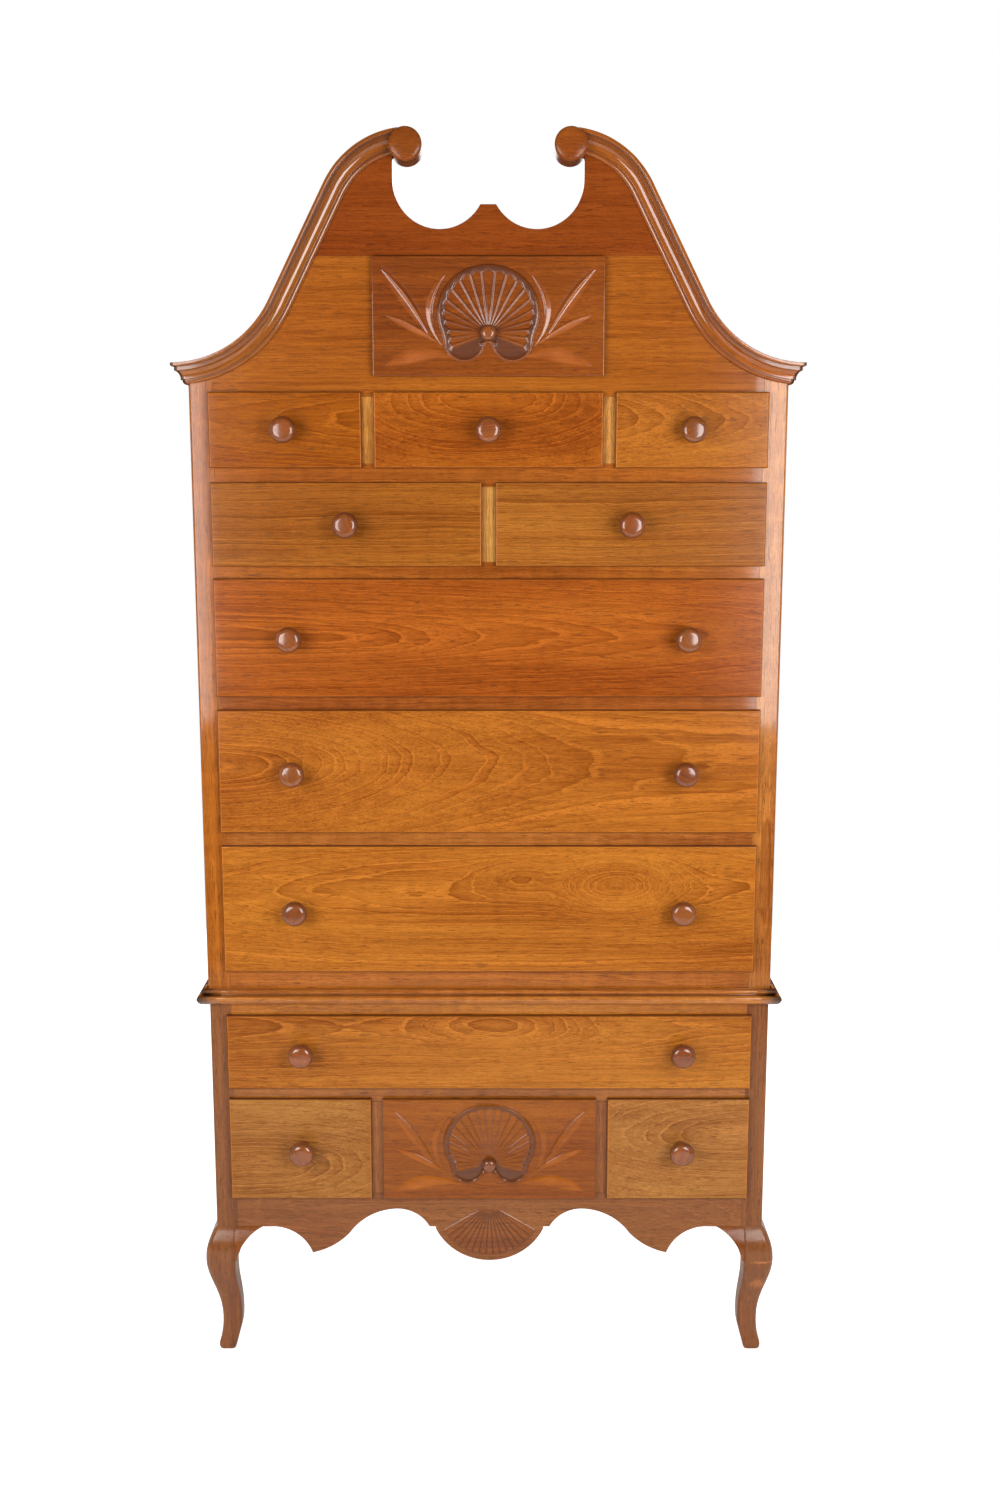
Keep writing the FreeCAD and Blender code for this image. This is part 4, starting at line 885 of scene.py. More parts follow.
class Leaf(NamedTuple):
    """A carved leaf on the left of the shell, along a bent spine."""

    base: tuple
    bend: tuple
    tip: tuple
    half_width: float
    widest: float  # share of the way to the tip
    height: float
    crest: float  # place of the ridge between the lower edge (-1) and the upper edge (1)
    fall: float  # power by which the leaf sinks from its ridge to the lower edge
    rubbed: float  # how much paler the leaf is painted: worn polish, and painted light on its lit body
    steep: float = 0.7  # power by which it sinks to the upper edge

    def surface(self, x, z):
        """Height of the leaf, and how near each point is to the leaf's edge, over a grid of points."""
        t = np.linspace(0, 1, 61)[:, None]
        spine = (1 - t) ** 2 * self.base + 2 * t * (1 - t) * self.bend + t * t * self.tip
        run = np.gradient(spine, axis=0)
        run /= np.linalg.norm(run, axis=1)[:, None]
        flat = np.stack([x.ravel(), z.ravel()], axis=1)
        best = np.full(len(flat), 1e9)
        where = np.zeros(len(flat), int)
        for k, point in enumerate(spine):
            far = ((flat - point) ** 2).sum(1)
            nearer = far < best
            best[nearer] = far[nearer]
            where[nearer] = k
        share = where / (len(spine) - 1)
        offset = flat - spine[where]
        side = run[where][:, 0] * offset[:, 1] - run[where][:, 1] * offset[:, 0]
        power = math.log(0.5) / math.log(self.widest)
        swell = np.sin(math.pi * np.clip(share, 0.0001, 1) ** power) ** 0.8
        width = self.half_width * swell + 0.01
        past_end = np.maximum(np.sqrt(best) - np.abs(side), 0)
        across = -side / width
        inside = np.clip(1 - np.abs(across), 0, 1) * (past_end < 0.8)
        high_side = np.clip((1 - across) / (1 - self.crest), 0, 1) ** self.steep
        low_side = np.clip((1 + across) / (1 + self.crest), 0, 1) ** self.fall
        rise = np.where(across > self.crest, high_side, low_side) * (inside > 0)
        rise *= self.height * (0.35 + 0.65 * swell)
        gap = np.sqrt(np.maximum(np.abs(side) - width, 0) ** 2 + past_end ** 2)
        # worn polish and painted light: the leaf's body is painted paler, most where it is widest
        worn_and_lit = self.rubbed * np.clip(2.5 * inside, 0, 1) * (0.4 + 0.6 * swell)
        return rise.reshape(x.shape), gap.reshape(x.shape), worn_and_lit.reshape(x.shape)


LEAVES = [
    Leaf((-90, -10), (-126, 44), (-169, 98), 8.5, 0.58, 0.68, 0.50, 6.0, 0.55, steep=0.3),
    Leaf((-72, -20), (-116, 8), (-163, 27), 6.0, 0.62, 0.40, 0.75, 2.2, 0.9),
    Leaf((-72, -21), (-119, 38), (-68, 90), 5.8, 0.55, 0.55, 0.45, 1.7, 0.5),
    Leaf((-50, -38), (-112, -22), (-163, -51), 13.0, 0.58, 0.34, 0.35, 1.5, 0.9, steep=1.6),
]


OVAL_FOOT = -14  # height at which the oval of a shell is cut off between its lobes
SOFT_JOIN = 9.0  # width over which the oval and a lobe run into each other
FLUTE_FLOOR = 0.34  # of the relief
RIM_RISE = 0.84  # of the relief
RAY_HALF_WIDTH = 1.2
BEAD = (9.0, -16.0, 4.5)  # place and radius of the small bead at the foot of each lobe
BEAD_RISE = 1.25  # of the relief


class Shell(NamedTuple):
    """A fluted shell inside a rim, whose two lower ends curl in to the hub as smooth lobes."""

    half_width: float
    half_height: float
    lift: float
    band: float
    ray_pitch: float  # degrees between rays
    ray_rise: float  # their height as a share
    flute_limit: float  # degrees from straight up to where the flutes give way to a lobe
    lobe_centre: tuple
    lobe_radius: float

    def surface(self, x, z):
        """Height over the ground in units of the relief, distance inside the rim's edge, stain with painted
        shade, and a painted highlight along the lobes' outer edge.
        """
        aside = np.abs(x)
        radius = np.hypot(x, z)
        angle = np.degrees(np.arctan2(aside, z))  # from straight up, to either side
        oval = np.hypot(x / self.half_width, (z - self.lift) / self.half_height)
        in_oval = (1 - oval) * (self.half_width + self.half_height) / 2
        in_oval = np.where(aside < self.lobe_centre[0], np.minimum(in_oval, z - OVAL_FOOT), in_oval)
        in_lobe = self.lobe_radius - np.hypot(aside - self.lobe_centre[0], z - self.lobe_centre[1])
        blend = np.clip(0.5 + 0.5 * (in_oval - in_lobe) / SOFT_JOIN, 0, 1)
        inside = in_lobe * (1 - blend) + in_oval * blend + SOFT_JOIN * blend * (1 - blend)

        # rays are low ridges with steep foot slopes, and the flutes between them are almost flat
        ray = angle / self.ray_pitch - 0.5
        from_ray = np.abs(ray - np.round(ray))  # 0 on a ray, 0.5 in the middle of a flute
        chord = radius * math.radians(self.ray_pitch)
        crowd = np.clip(chord / 8.0, 0.05, 1)  # rays are finer and lower where they crowd round the hub
        half_width = RAY_HALF_WIDTH * crowd
        off_ray = from_ray * chord
        ridge = np.clip(1 - off_ray / half_width, 0, 1)
        stands = 1 - smoothstep(half_width, 1.9 * half_width, off_ray)
        flute = FLUTE_FLOOR + crowd * self.ray_rise * (0.20 * stands + 0.09 * ridge)
        flute -= 0.024 * chord * from_ray * (1 - from_ray)
        flute *= smoothstep(4, 12, radius)

        # the rim is a low round moulding, and each lobe is dished towards its raised outer edge
        scallop = self.band + 1.2 * np.cos(2 * math.pi * from_ray)
        in_lobes = smoothstep(self.flute_limit - 1.5, self.flute_limit + 1.5, angle)
        banded = np.maximum(1 - smoothstep(scallop - 0.9, scallop + 0.5, inside), in_lobes)
        in_band = np.clip(inside / scallop, 0, 1)
        rim = RIM_RISE - 0.26 * (2 * in_band - 1) ** 2
        dish = 0.26 + 0.70 * np.clip(1 - inside / 9, 0, 1) ** 2
        dished = smoothstep(self.flute_limit - 12, self.flute_limit + 6, angle)
        rim = (rim * (1 - dished) + dish * dished) * smoothstep(-0.2, 0.9, inside)
        punched = np.sin(1.9 * x + 0.4 * z) * np.sin(2.1 * z - 0.5 * x)
        punched *= smoothstep(1.0, 2.5, inside) * (1 - 0.9 * in_lobes)
        height = (rim + 0.035 * punched) * banded + flute * (1 - banded)
        bead = 1 - np.hypot(aside - BEAD[0], z - BEAD[1]) / BEAD[2]
        height = np.maximum(height, BEAD_RISE * np.sqrt(np.clip(bead, 0, 1)))

        # old wax darkens the punched ground of the rim, its pits most; round the hub and at the foot of each
        # ray the darkening is painted shade
        crowded = np.exp(-((radius - 8) / 9.0) ** 2) * (1 - stands * ridge)
        foot = stands * (1 - ridge) * smoothstep(12, 24, radius)
        stain_and_shade = (0.66 + 0.06 * in_lobes - 0.24 * punched) * banded * smoothstep(0.6, 1.8, inside)
        stain_and_shade = stain_and_shade + (0.55 * crowded + 0.5 * foot) * (1 - banded)
        # painted highlight: a pale line along the lobes' outer edge, where the stain is also left off
        worn_and_lit = in_lobes * (1 - smoothstep(1.2, 2.2, inside)) * (inside > 0)
        return np.where((inside > 0) | (bead > 0), height, 0.0), inside, stain_and_shade * (inside > 0), worn_and_lit


SHELLS = {
    "pediment_drawer": Shell(80, 73.6, 31.8, 10.0, 11.4, 1.0, 113, (38, -12), 31.5),
    "lower_carved_drawer": Shell(79, 71.3, 37.8, 8.6, 9.2, 0.7, 105, (38, -8), 27),
}


GROUND_DIP = 0.17  # of the relief, how far the ground sinks beside the carving
GROUND_REACH = 5.5  # over which it comes up again
FAR_OFF = 50.0


def carved_relief(drawer, x, z):
    """Relief over the carved front in units of its full height, stain with painted shade, worn polish with
    painted light, and the share of the painted cavity shade.
    """
    shell_height, inside, stain_and_shade, lobe_edge_highlight = SHELLS[drawer].surface(x, z)
    height = np.zeros(x.shape)
    worn_and_lit = np.zeros(x.shape)
    gap = np.full(x.shape, FAR_OFF)
    for leaf in LEAVES:
        rise, distance, rubbed = leaf.surface(-np.abs(x), z)
        height = np.maximum(height, rise)
        worn_and_lit = np.maximum(worn_and_lit, rubbed)
        if leaf.steep < 1:
            gap = np.minimum(gap, distance)
    outside = np.maximum(-inside, 0)
    ground = -GROUND_DIP * np.exp(-(np.minimum(gap, outside) / GROUND_REACH) ** 2)
    height = np.where(inside > 0, shell_height, np.maximum(height, 0) + ground)
    shaded = np.where(inside > 0, 1 - lobe_edge_highlight, 0.35 + 0.65 * smoothstep(0, 9, outside))
    return height, stain_and_shade, np.where(inside > 0, lobe_edge_highlight, worn_and_lit), shaded


def blurred(values, reach):
    """Mean over a square neighbourhood of a grid."""
    padded = np.pad(values, reach, mode="edge")
    total = padded.cumsum(0).cumsum(1)
    total = np.pad(total, ((1, 0), (1, 0)))
    size = 2 * reach + 1
    columns, rows = values.shape
    summed = (
        total[size:size + columns, size:size + rows] - total[:columns, size:size + rows]
        - total[size:size + columns, :rows] + total[:columns, :rows]
    )
    return summed / size ** 2


def carved_front(drawer, settings):
    corner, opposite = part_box(drawer + "_front")
    rim = 0.5 * settings.lip_round
    fine = settings.carving_cell
    reach = SHELLS[drawer].half_width * MM + FINE_MARGIN
    xs = stations(corner.x, opposite.x, WIDE_CELL * fine, rim)
    xs = np.concatenate([xs[xs < -reach], np.arange(-reach, reach, fine), xs[xs > reach]])
    zs = stations(corner.z, opposite.z, ROW_CELL * fine, rim)
    x, z = np.meshgrid(xs, zs, indexing="ij")
    hub_z = corner.z + HUB_SHARE * (opposite.z - corner.z)
    relief, stain_and_shade, worn_and_lit, shaded = carved_relief(drawer, x / MM, (z - hub_z) / MM)
    # painted shade: darker where the relief lies below the mean round it, in the recesses beside the leaves
    # and the shell
    shade = shaded * np.clip((blurred(relief, 4) - relief) * 1.5 - 0.05, 0, 1)
    carving = (relief * settings.relief, np.clip(shade + stain_and_shade, 0, 1), worn_and_lit)
    look = "carved" if drawer == "pediment_drawer" else "lower carved"
    return front_piece(drawer, xs, zs, rim, settings.ease, "carved_wood", look, *carving)


# ---------------------------------------------------------------- mouldings

# Sections of the mouldings from the lower edge on the wood, as shares of their height and projection: points
# (up, out), and arcs on from the last point as (via, end, number of steps)
CORNICE = (
    (0.0, 0.0), (0.0, 0.09), ((0.065, 0.245), (0.21, 0.30), 8), (0.21, 0.41), (0.28, 0.41),
    ((0.45, 0.475), (0.63, 0.72), 10), (0.63, 0.78), (0.82, 0.78), (0.82, 0.89),
    ((0.84, 0.97), (0.91, 1.0), 6), (1.0, 1.0), (1.0, 0.0),
)
WAIST_NOSE_AND_BEAD = (
    (0.0, 0.0), (0.0, 0.17), (0.05, 0.17), ((0.13, 0.70), (0.38, 1.0), 10), ((0.46, 1.03), (0.54, 1.0), 6),
    ((0.60, 0.93), (0.63, 0.80), 5), (0.63, 0.52), (0.69, 0.47), ((0.83, 0.66), (0.97, 0.47), 8), (1.0, 0.42),
)
WAIST_INSET = 0.0035  # of the moulding's upper part behind the face of the lower case


def moulding_line(steps, height, projection):
    """Points of a moulding's section as (up, out) in metres."""
    line = []
    for step in steps:
        if len(step) == 2:
            line.append((step[0] * height, step[1] * projection))
        else:
            via, end = ((up * height, out * projection) for up, out in step[:2])
            line += arc(line[-1], via, end, step[2])
    return line


def cornice_section():
    return softened(moulding_line(CORNICE, CORNICE_HEIGHT, CORNICE_PROJECTION), 0.0008)


def waist_section():
    line = moulding_line(WAIST_NOSE_AND_BEAD, WAIST_HEIGHT, high("waist_moulding").x - LOWER_HALF)
    seat = low("upper_sides").z - WAIST_Z
    return softened(line + [(WAIST_HEIGHT, WAIST_INSET), (seat, WAIST_INSET), (seat, 0.0)], 0.0006)


def grooves(section):
    """How deep in an inner corner each point of a moulding's section lies, from 0 to 1."""
    up_out = np.array(section)
    before, after = np.diff(up_out, axis=0)[:-1], np.diff(up_out, axis=0)[1:]
    turn = before[:, 0] * after[:, 1] - before[:, 1] * after[:, 0]
    turn /= np.hypot(*before.T) * np.hypot(*after.T) + 1e-12
    inner = np.where(turn > 0.15)[0] + 1
    far = np.array([min([np.hypot(*(point - up_out[i])) for i in inner], default=1.0) for point in up_out])
    return np.exp(-(far / 0.0012) ** 2)


def swept(mesh, lines, lengths, key, groove_shade):
    """Add a moulding. lines holds, for each point of the section, its path; lengths are along the grain."""
    grid = np.array(lines)  # section point, station, xyz
    count, steps = grid.shape[:2]
    index = np.arange(count * steps).reshape(count, steps)
    closing = np.stack([index[-1, :-1], index[-1, 1:], index[0, 1:], index[0, :-1]], axis=1)
    faces = [*grid_faces(count, steps)[0][:, ::-1], index[:, 0], index[::-1, -1], *closing]
    cut = common_cut(key)
    section = np.broadcast_to(grid[:, :1] - grid[:, 0].mean(0), grid.shape)
    across = np.hypot(section[..., 0], section[..., 1]) * np.sign(section[..., 1] + 1e-9)
    along = np.broadcast_to(np.array(lengths) + cut.shift, across.shape)
    trunk = np.stack([along, section[..., 2] + cut.offset, across + cut.depth], axis=2)
    # painted shade: the inner corners of the section are painted darker along the whole run
    mesh.add(grid.reshape(-1, 3), faces, trunk.reshape(-1, 3), cut.tint, None, np.repeat(groove_shade, steps))


def swept_pair(mesh, lines, lengths, key, groove_shade):
    """Add a moulding on the right of the case and its mirror image, whose section runs the other way."""
    swept(mesh, lines, lengths, key % "right", groove_shade)
    left = [[(-x, y, z) for x, y, z in line] for line in reversed(lines)]
    swept(mesh, left, lengths, key % "left", groove_shade[::-1])


def side_paths(section, half_width, z, count):
    """Paths of a section along the right side of the case, from its front mitre to the back."""
    return [
        [(half_width + out, (FACE_Y - out) * (1 - t) + BACK_Y * t, z + up) for t in np.linspace(0, 1, count)]
        for up, out in section
    ]


RAKE_LOW_RADIUS = 0.211
RAKE_TOP_RADIUS = 0.118
ROSETTE_INSET = 0.0075
RAKE_ARC_STEPS = 30
RAKE_MIDDLE_STEPS = 8
RAKE_END_X = ROSETTE_X + 0.2 * ROSETTE_RADIUS
# painted shade: how dark the inner corners of a moulding's section are painted
GROOVE_SHADE = 0.6
RETURN_STATIONS = 12
WAIST_STATIONS = 24


def rake_centres():
    """Centres of the low and the high arc of the right raking moulding, with the turn that joins them."""
    low_centre = (RAKE_TIP_X, CORNICE_Z + RAKE_LOW_RADIUS)
    high_centre = (ROSETTE_X - ROSETTE_INSET, SCROLL_TOP_Z - CORNICE_HEIGHT - RAKE_TOP_RADIUS)
    across = low_centre[0] - high_centre[0]
    up = high_centre[1] - low_centre[1]
    radii = RAKE_LOW_RADIUS + RAKE_TOP_RADIUS
    run = math.sqrt(across ** 2 + up ** 2 - radii ** 2)
    turn = math.atan2(radii * across + run * up, run * across - radii * up)
    return low_centre, high_centre, run, turn


def rake_arcs(up, start_out, steps):
    """The low and the high arc of a line that lies up the moulding's section, from its mitre on."""
    low_centre, high_centre, _, turn = rake_centres()
    low_radius, high_radius = RAKE_LOW_RADIUS - up, RAKE_TOP_RADIUS + up
    start = math.asin(start_out / low_radius)
    low_arc, high_arc = [], []
    for i in range(steps + 1):
        a = start + (turn - start) * i / steps
        low_arc.append((low_centre[0] - low_radius * math.sin(a), low_centre[1] - low_radius * math.cos(a)))
        a = turn * (1 - i / steps)
        x, z = high_centre
        high_arc.append((x + high_radius * math.sin(a), z + high_radius * math.cos(a)))
    return low_arc, high_arc


def rake_path(up, out):
    """The path of one point of the section up the right side, from its mitre to inside the rosette."""
    low_arc, high_arc = rake_arcs(up, CORNICE_PROJECTION - out, RAKE_ARC_STEPS)
    _, _, run, turn = rake_centres()
    x0, z0 = low_arc[-1]
    middle = []
    for i in range(1, RAKE_MIDDLE_STEPS):
        share = i / RAKE_MIDDLE_STEPS * run
        middle.append((x0 - math.cos(turn) * share, z0 + math.sin(turn) * share))
    path = low_arc + middle + high_arc
    seen = [(x, z) for x, z in path if x > RAKE_END_X]
    seen += [(RAKE_END_X, path[-1][1])] * (len(path) - len(seen))
    return [(x, FACE_Y - out, z) for x, z in seen]


def path_lengths(line):
    steps = np.linalg.norm(np.diff(np.array(line), axis=0), axis=1)
    return [0.0, *np.cumsum(steps)]


def cornice():
    mesh = Mesh()
    section = cornice_section()
    rake = [rake_path(up, out) for up, out in section]
    repeats = min(path.count(path[-1]) for path in rake) - 1  # of the last station, on every path
    rake = [path[:len(path) - repeats] for path in rake]
    groove_shade = GROOVE_SHADE * grooves(section)
    swept_pair(mesh, rake[::-1], path_lengths(rake[len(rake) // 2]), "%s rake", groove_shade[::-1])
    side = side_paths(section, UPPER_HALF, CORNICE_Z, RETURN_STATIONS)
    swept_pair(mesh, side, path_lengths(side[0]), "%s return", groove_shade)
    return mesh.piece(
        "cornice_and_scroll_mouldings", CASE, "moulding", ["cornice_mouldings"],
    )


def waist():
    mesh = Mesh()
    section = waist_section()
    groove_shade = GROOVE_SHADE * grooves(section)
    stops = np.linspace(-1, 1, WAIST_STATIONS)
    front = [[((LOWER_HALF + out) * t, FACE_Y - out, WAIST_Z + up) for t in stops] for up, out in section]
    swept(mesh, front, path_lengths(front[0]), "waist front", groove_shade)
    side = side_paths(section, LOWER_HALF, WAIST_Z, WAIST_STATIONS)
    swept_pair(mesh, side, path_lengths(side[0]), "waist %s", groove_shade)
    return mesh.piece("waist_moulding_run", CASE, "frame", ["waist_moulding"])


# Section of a rosette: share of its radius, and depth behind its face
ROSETTE_FACE = (
    (0.0, 0.0), (0.30, 0.0002), (0.55, 0.0007), (0.74, 0.0014), (0.82, 0.0022), (0.88, 0.0028),
    (0.93, 0.0036), (0.97, 0.0052), (0.995, 0.0078), (1.0, 0.011),
)
ROSETTE_AROUND = 96


def rosettes():
    """Two short turned cylinders with a rounded rim and a slightly domed face."""
    mesh = Mesh()
    rear = ROSETTE_REAR_Y - ROSETTE_FRONT_Y
    profile = ROSETTE_FACE + ((1.0, rear - 0.001), (0.98, rear), (0.0, rear))
    section = [(share * ROSETTE_RADIUS, ROSETTE_FRONT_Y + depth) for share, depth in reversed(profile)]
    for sign in (-1, 1):
        x = sign * ROSETTE_X
        work = begun(*turned(x, ROSETTE_Z, section, ROSETTE_AROUND))
        bmesh.ops.remove_doubles(work, verts=work.verts, dist=1e-6)
        co, out = finished(work)
        cut = common_cut("rosette %d" % sign)
        mesh.add(co, out, cut.places(co, (0, 2, 1), (x, ROSETTE_FRONT_Y, ROSETTE_Z)), cut.tint)
    return mesh.piece("scroll_rosette_turnings", CASE, "rosette", ["scroll_rosettes"])


# ---------------------------------------------------------------- pediment and apron boards

PLANK_TOP_INSET = 0.002
SCROLL_EDGE_INSET = 0.0042
SCROLL_CIRCLE_LIFT = 0.0362
PLINTH_WIDTH = 0.025
PLINTH_HEIGHT = 0.078
STILE_HIDDEN = 0.018
RAKE_EDGE_STEPS = 40
SCROLL_STEPS = 48
UPPER_PLANK_CUT = Cut(0.20, 0.05, 0.004, 0.02, 1.4)
LOWER_PLANK_CUT = Cut(0.16, -0.10, -0.004, 0.03, 3.4, (), (0.90, 0.85, 0.8))
LOWER_PLANK_GRAIN_Z = 1.76  # height at which its figure is centred


def both_halves(right):
    """A whole outline from its right half."""
    return right + [(-x, z) for x, z in reversed(right)]


def pediment():
    """The two planks of the pediment: the upper one with the scrolled cut-outs, the lower one notched."""
    edge = sum(rake_arcs(CORNICE_HEIGHT - PLANK_TOP_INSET, 0.0, RAKE_EDGE_STEPS), [])
    (x0, z0), (x1, z1) = next(pair for pair in zip(edge, edge[1:]) if pair[1][1] >= SEAM_Z)
    at_seam = (x0 + (x1 - x0) * (SEAM_Z - z0) / (z1 - z0), SEAM_Z)
    scroll_edge_x = ROSETTE_X + ROSETTE_RADIUS - SCROLL_EDGE_INSET
    span = scroll_edge_x - PLINTH_WIDTH / 2
    radius = (span ** 2 + SCROLL_CIRCLE_LIFT ** 2) / (2 * span)
    centre_x, centre_z = scroll_edge_x - radius, SEAM_Z + PLINTH_HEIGHT + SCROLL_CIRCLE_LIFT
    outer = [(x, z) for x, z in edge if z > SEAM_Z and x > scroll_edge_x + 0.001]
    right = [at_seam, *outer, (scroll_edge_x, outer[-1][1]), (scroll_edge_x, centre_z)]
    last = -math.acos(max(-1, min(1, (PLINTH_WIDTH / 2 - centre_x) / radius)))
    for i in range(1, SCROLL_STEPS + 1):
        turn = last * i / SCROLL_STEPS
        right.append((centre_x + radius * math.cos(turn), centre_z + radius * math.sin(turn)))
    ease = bpy.context.scene.highboy_workmanship.ease
    mesh = Mesh()
    outline_board(mesh, both_halves(right), UPPER_PLANK_CUT, (SEAM_Z + SCROLL_TOP_Z) / 2, ease)
    mesh.piece("pediment_upper_plank", CASE, "plank", ["pediment_planks"])

    stile_top = CORNICE_Z + STILE_HIDDEN
    low_edge = [(x, z) for x, z in edge if stile_top < z < SEAM_Z and x < UPPER_HALF]
    right = [
        (OPENING_HALF, PEDIMENT_FOOT_Z), (OPENING_HALF, stile_top), (low_edge[0][0], stile_top), *low_edge,
        at_seam, (PEDIMENT_OPENING_HALF, SEAM_Z), (PEDIMENT_OPENING_HALF, PEDIMENT_OPENING_Z),
    ]
    mesh = Mesh()
    outline_board(mesh, both_halves(right), LOWER_PLANK_CUT, LOWER_PLANK_GRAIN_Z, ease)
    mesh.piece("pediment_lower_plank", CASE, "calm", [])


FAN_HALF_WIDTH = 0.094
FAN_DROP = 0.0635
FAN_EDGE_DROP = 0.004
APRON_STEP = 0.011
ARCH_CROWN_REACH = 0.057
ARCH_RISE = 0.0333
INFLECTION_REACH = 0.0655
INFLECTION_DROP = 0.012
CUSP_REACH = 0.0745
CUSP_DROP = 0.049
KNEE_SHOULDER = 0.0125
BRACKET_WIDTH = 0.044
FAN_RISE = FAN_DROP - FAN_EDGE_DROP
FAN_RADIUS = (FAN_HALF_WIDTH ** 2 + FAN_RISE ** 2) / (2 * FAN_RISE)
FAN_CENTRE_Z = LEG_TOP_Z - FAN_DROP + FAN_RADIUS
APRON_OVER_ROW = 0.007  # from the lower edge of the lowest fronts up to the apron's upper edge
APRON_CUT = Cut(0.070, 0.03, 0.010, 0.10, 2.9)


def apron_board(settings):
    """The apron with its arches, pointed drops and the plain ground of the fan."""
    top = CARVED_ROW_Z + APRON_OVER_ROW
    knee_x = OPENING_HALF - BRACKET_WIDTH - KNEE_SHOULDER
    cusp = (knee_x - CUSP_REACH, LEG_TOP_Z - CUSP_DROP)
    inflection = (cusp[0] - INFLECTION_REACH, LEG_TOP_Z - INFLECTION_DROP)
    step = (FAN_HALF_WIDTH + APRON_STEP, LEG_TOP_Z)
    crown = (step[0] + ARCH_CROWN_REACH, LEG_TOP_Z + ARCH_RISE)
    spread = math.atan2(FAN_HALF_WIDTH, FAN_CENTRE_Z - LEG_TOP_Z + FAN_EDGE_DROP)
    turns = [spread * i / 30 for i in range(1, 31)]
    half = [(FAN_RADIUS * math.sin(turn), FAN_CENTRE_Z - FAN_RADIUS * math.cos(turn)) for turn in turns]
    half += [(FAN_HALF_WIDTH, LEG_TOP_Z), step]
    half += bowed(step, crown, 0.16) + bowed(crown, inflection, 0.135)
    half += bowed(inflection, cusp, -0.09) + bowed(cusp, (knee_x, LEG_TOP_Z), 0.20)
    half += [(OPENING_HALF, LEG_TOP_Z), (OPENING_HALF, top)]
    outline = [(0.0, LEG_TOP_Z - FAN_DROP)] + both_halves(half)
    mesh = Mesh()
    outline_board(mesh, outline, APRON_CUT, LEG_TOP_Z, settings.ease)
    return mesh.piece("front_apron_board", CASE, "apron", ["front_apron"])


FAN_SPREAD = math.radians(59)
FAN_BORDER = 0.0085
FAN_HUB = 0.012
FAN_INNER = 0.004
FAN_RIDGE = 0.0015
FAN_RELIEF = 0.0022
FAN_SKIN = 0.0004  # of wood over the board's face in the deepest part of a groove
FAN_SINK = 0.0002  # where nothing is carved, the fan lies just under the board's face
FAN_REAR = 0.002  # behind the board's face, where the fan's edge ends
FAN_MARGIN = 0.07  # radians beyond the outer lobes, for the ridges
FAN_GRID = (260, 120)  # points across the lobes and along them
FAN_TINT = (0.92, 0.80, 0.72)


def apron_fan(settings):
    """The carved fan: convex lobes between grooves, a smooth hub and a raised ridge on either side."""
    angles = np.linspace(-FAN_SPREAD - FAN_MARGIN, FAN_SPREAD + FAN_MARGIN, FAN_GRID[0])
    radii = np.linspace(FAN_INNER, FAN_RADIUS - FAN_BORDER, FAN_GRID[1])
    a, r = np.meshgrid(angles, radii, indexing="ij")
    lobe = (a + FAN_SPREAD) / (2 * FAN_SPREAD) * settings.fan_flutes
    in_lobe = np.clip(lobe - np.floor(lobe), 0, 1)
    width = r * 2 * FAN_SPREAD / settings.fan_flutes
    lobes = FAN_SKIN + np.minimum(FAN_RELIEF, 0.18 * width) * np.sin(math.pi * in_lobe) ** 0.55
    hub = FAN_SKIN + FAN_RELIEF * np.sqrt(np.clip(1 - (r / FAN_HUB) ** 4, 0, 1))
    mix = smoothstep(FAN_HUB - 0.004, FAN_HUB + 0.003, r)
    height = hub * (1 - mix) + lobes * mix
    tip = FAN_RADIUS - FAN_BORDER - r
    height *= smoothstep(0.0, 0.006, tip) * smoothstep(0.006, 0.018, r) * (np.abs(a) <= FAN_SPREAD)
    above_ridge = (np.abs(a) - FAN_SPREAD) * r
    ridge = np.where(above_ridge > 0, 1 - above_ridge / 0.0025, 1 + above_ridge / 0.0012)
    ridge = np.clip(ridge, 0, 1) * smoothstep(0.014, 0.024, r) * smoothstep(0.0005, 0.004, tip)
    height = np.maximum(height, FAN_RIDGE * ridge)
    # painted shade: darker beside the lobes' high parts and in the grooves, painted in the old-wax colour
    shade = np.clip((blurred(height, 3) - height) / 0.0018, 0, 0.5)
    off_groove = np.minimum(in_lobe, 1 - in_lobe) * width
    groove = (1 - smoothstep(0.0002, 0.0012, off_groove)) * smoothstep(0.014, 0.022, r)
    shade = np.maximum(shade, 0.8 * groove) * smoothstep(0.001, 0.004, tip) * (above_ridge < -0.001)
    height -= FAN_SINK
    height[0, :] = height[-1, :] = height[:, 0] = height[:, -1] = -FAN_REAR
    points = np.stack([r * np.sin(a), FACE_Y - height, FAN_CENTRE_Z - r * np.cos(a)], axis=2).reshape(-1, 3)
    quads, border = grid_faces(*r.shape)
    faces = quads[:, [0, 3, 2, 1]].tolist() + [border]
    trunk = APRON_CUT.places(points, (0, 2, 1), (0.0, FACE_Y, LEG_TOP_Z))
    mesh = Mesh()
    mesh.add(points, faces, trunk, FAN_TINT, None, shade.ravel())
    return mesh.piece("front_apron_fan", CASE, "apron", [])


# ---------------------------------------------------------------- operators

class HIGHBOY_OT_plain_fronts(Operator):
    """Lipped drawer fronts in figured wood, each with its own cut of the trunk"""

    bl_idname = "highboy.plain_fronts"
    bl_label = "Plain drawer fronts"

    def execute(self, context):
        for drawer in PLAIN_DRAWERS:
            plain_front(drawer, context.scene.highboy_workmanship)
        return {"FINISHED"}


class HIGHBOY_OT_carved_fronts(Operator):
    """The two drawer fronts carved with a shell between leaves"""

    bl_idname = "highboy.carved_fronts"
    bl_label = "Carved drawer fronts"

    def execute(self, context):
        for drawer in CARVED_DRAWERS:
            carved_front(drawer, context.scene.highboy_workmanship)
        return {"FINISHED"}


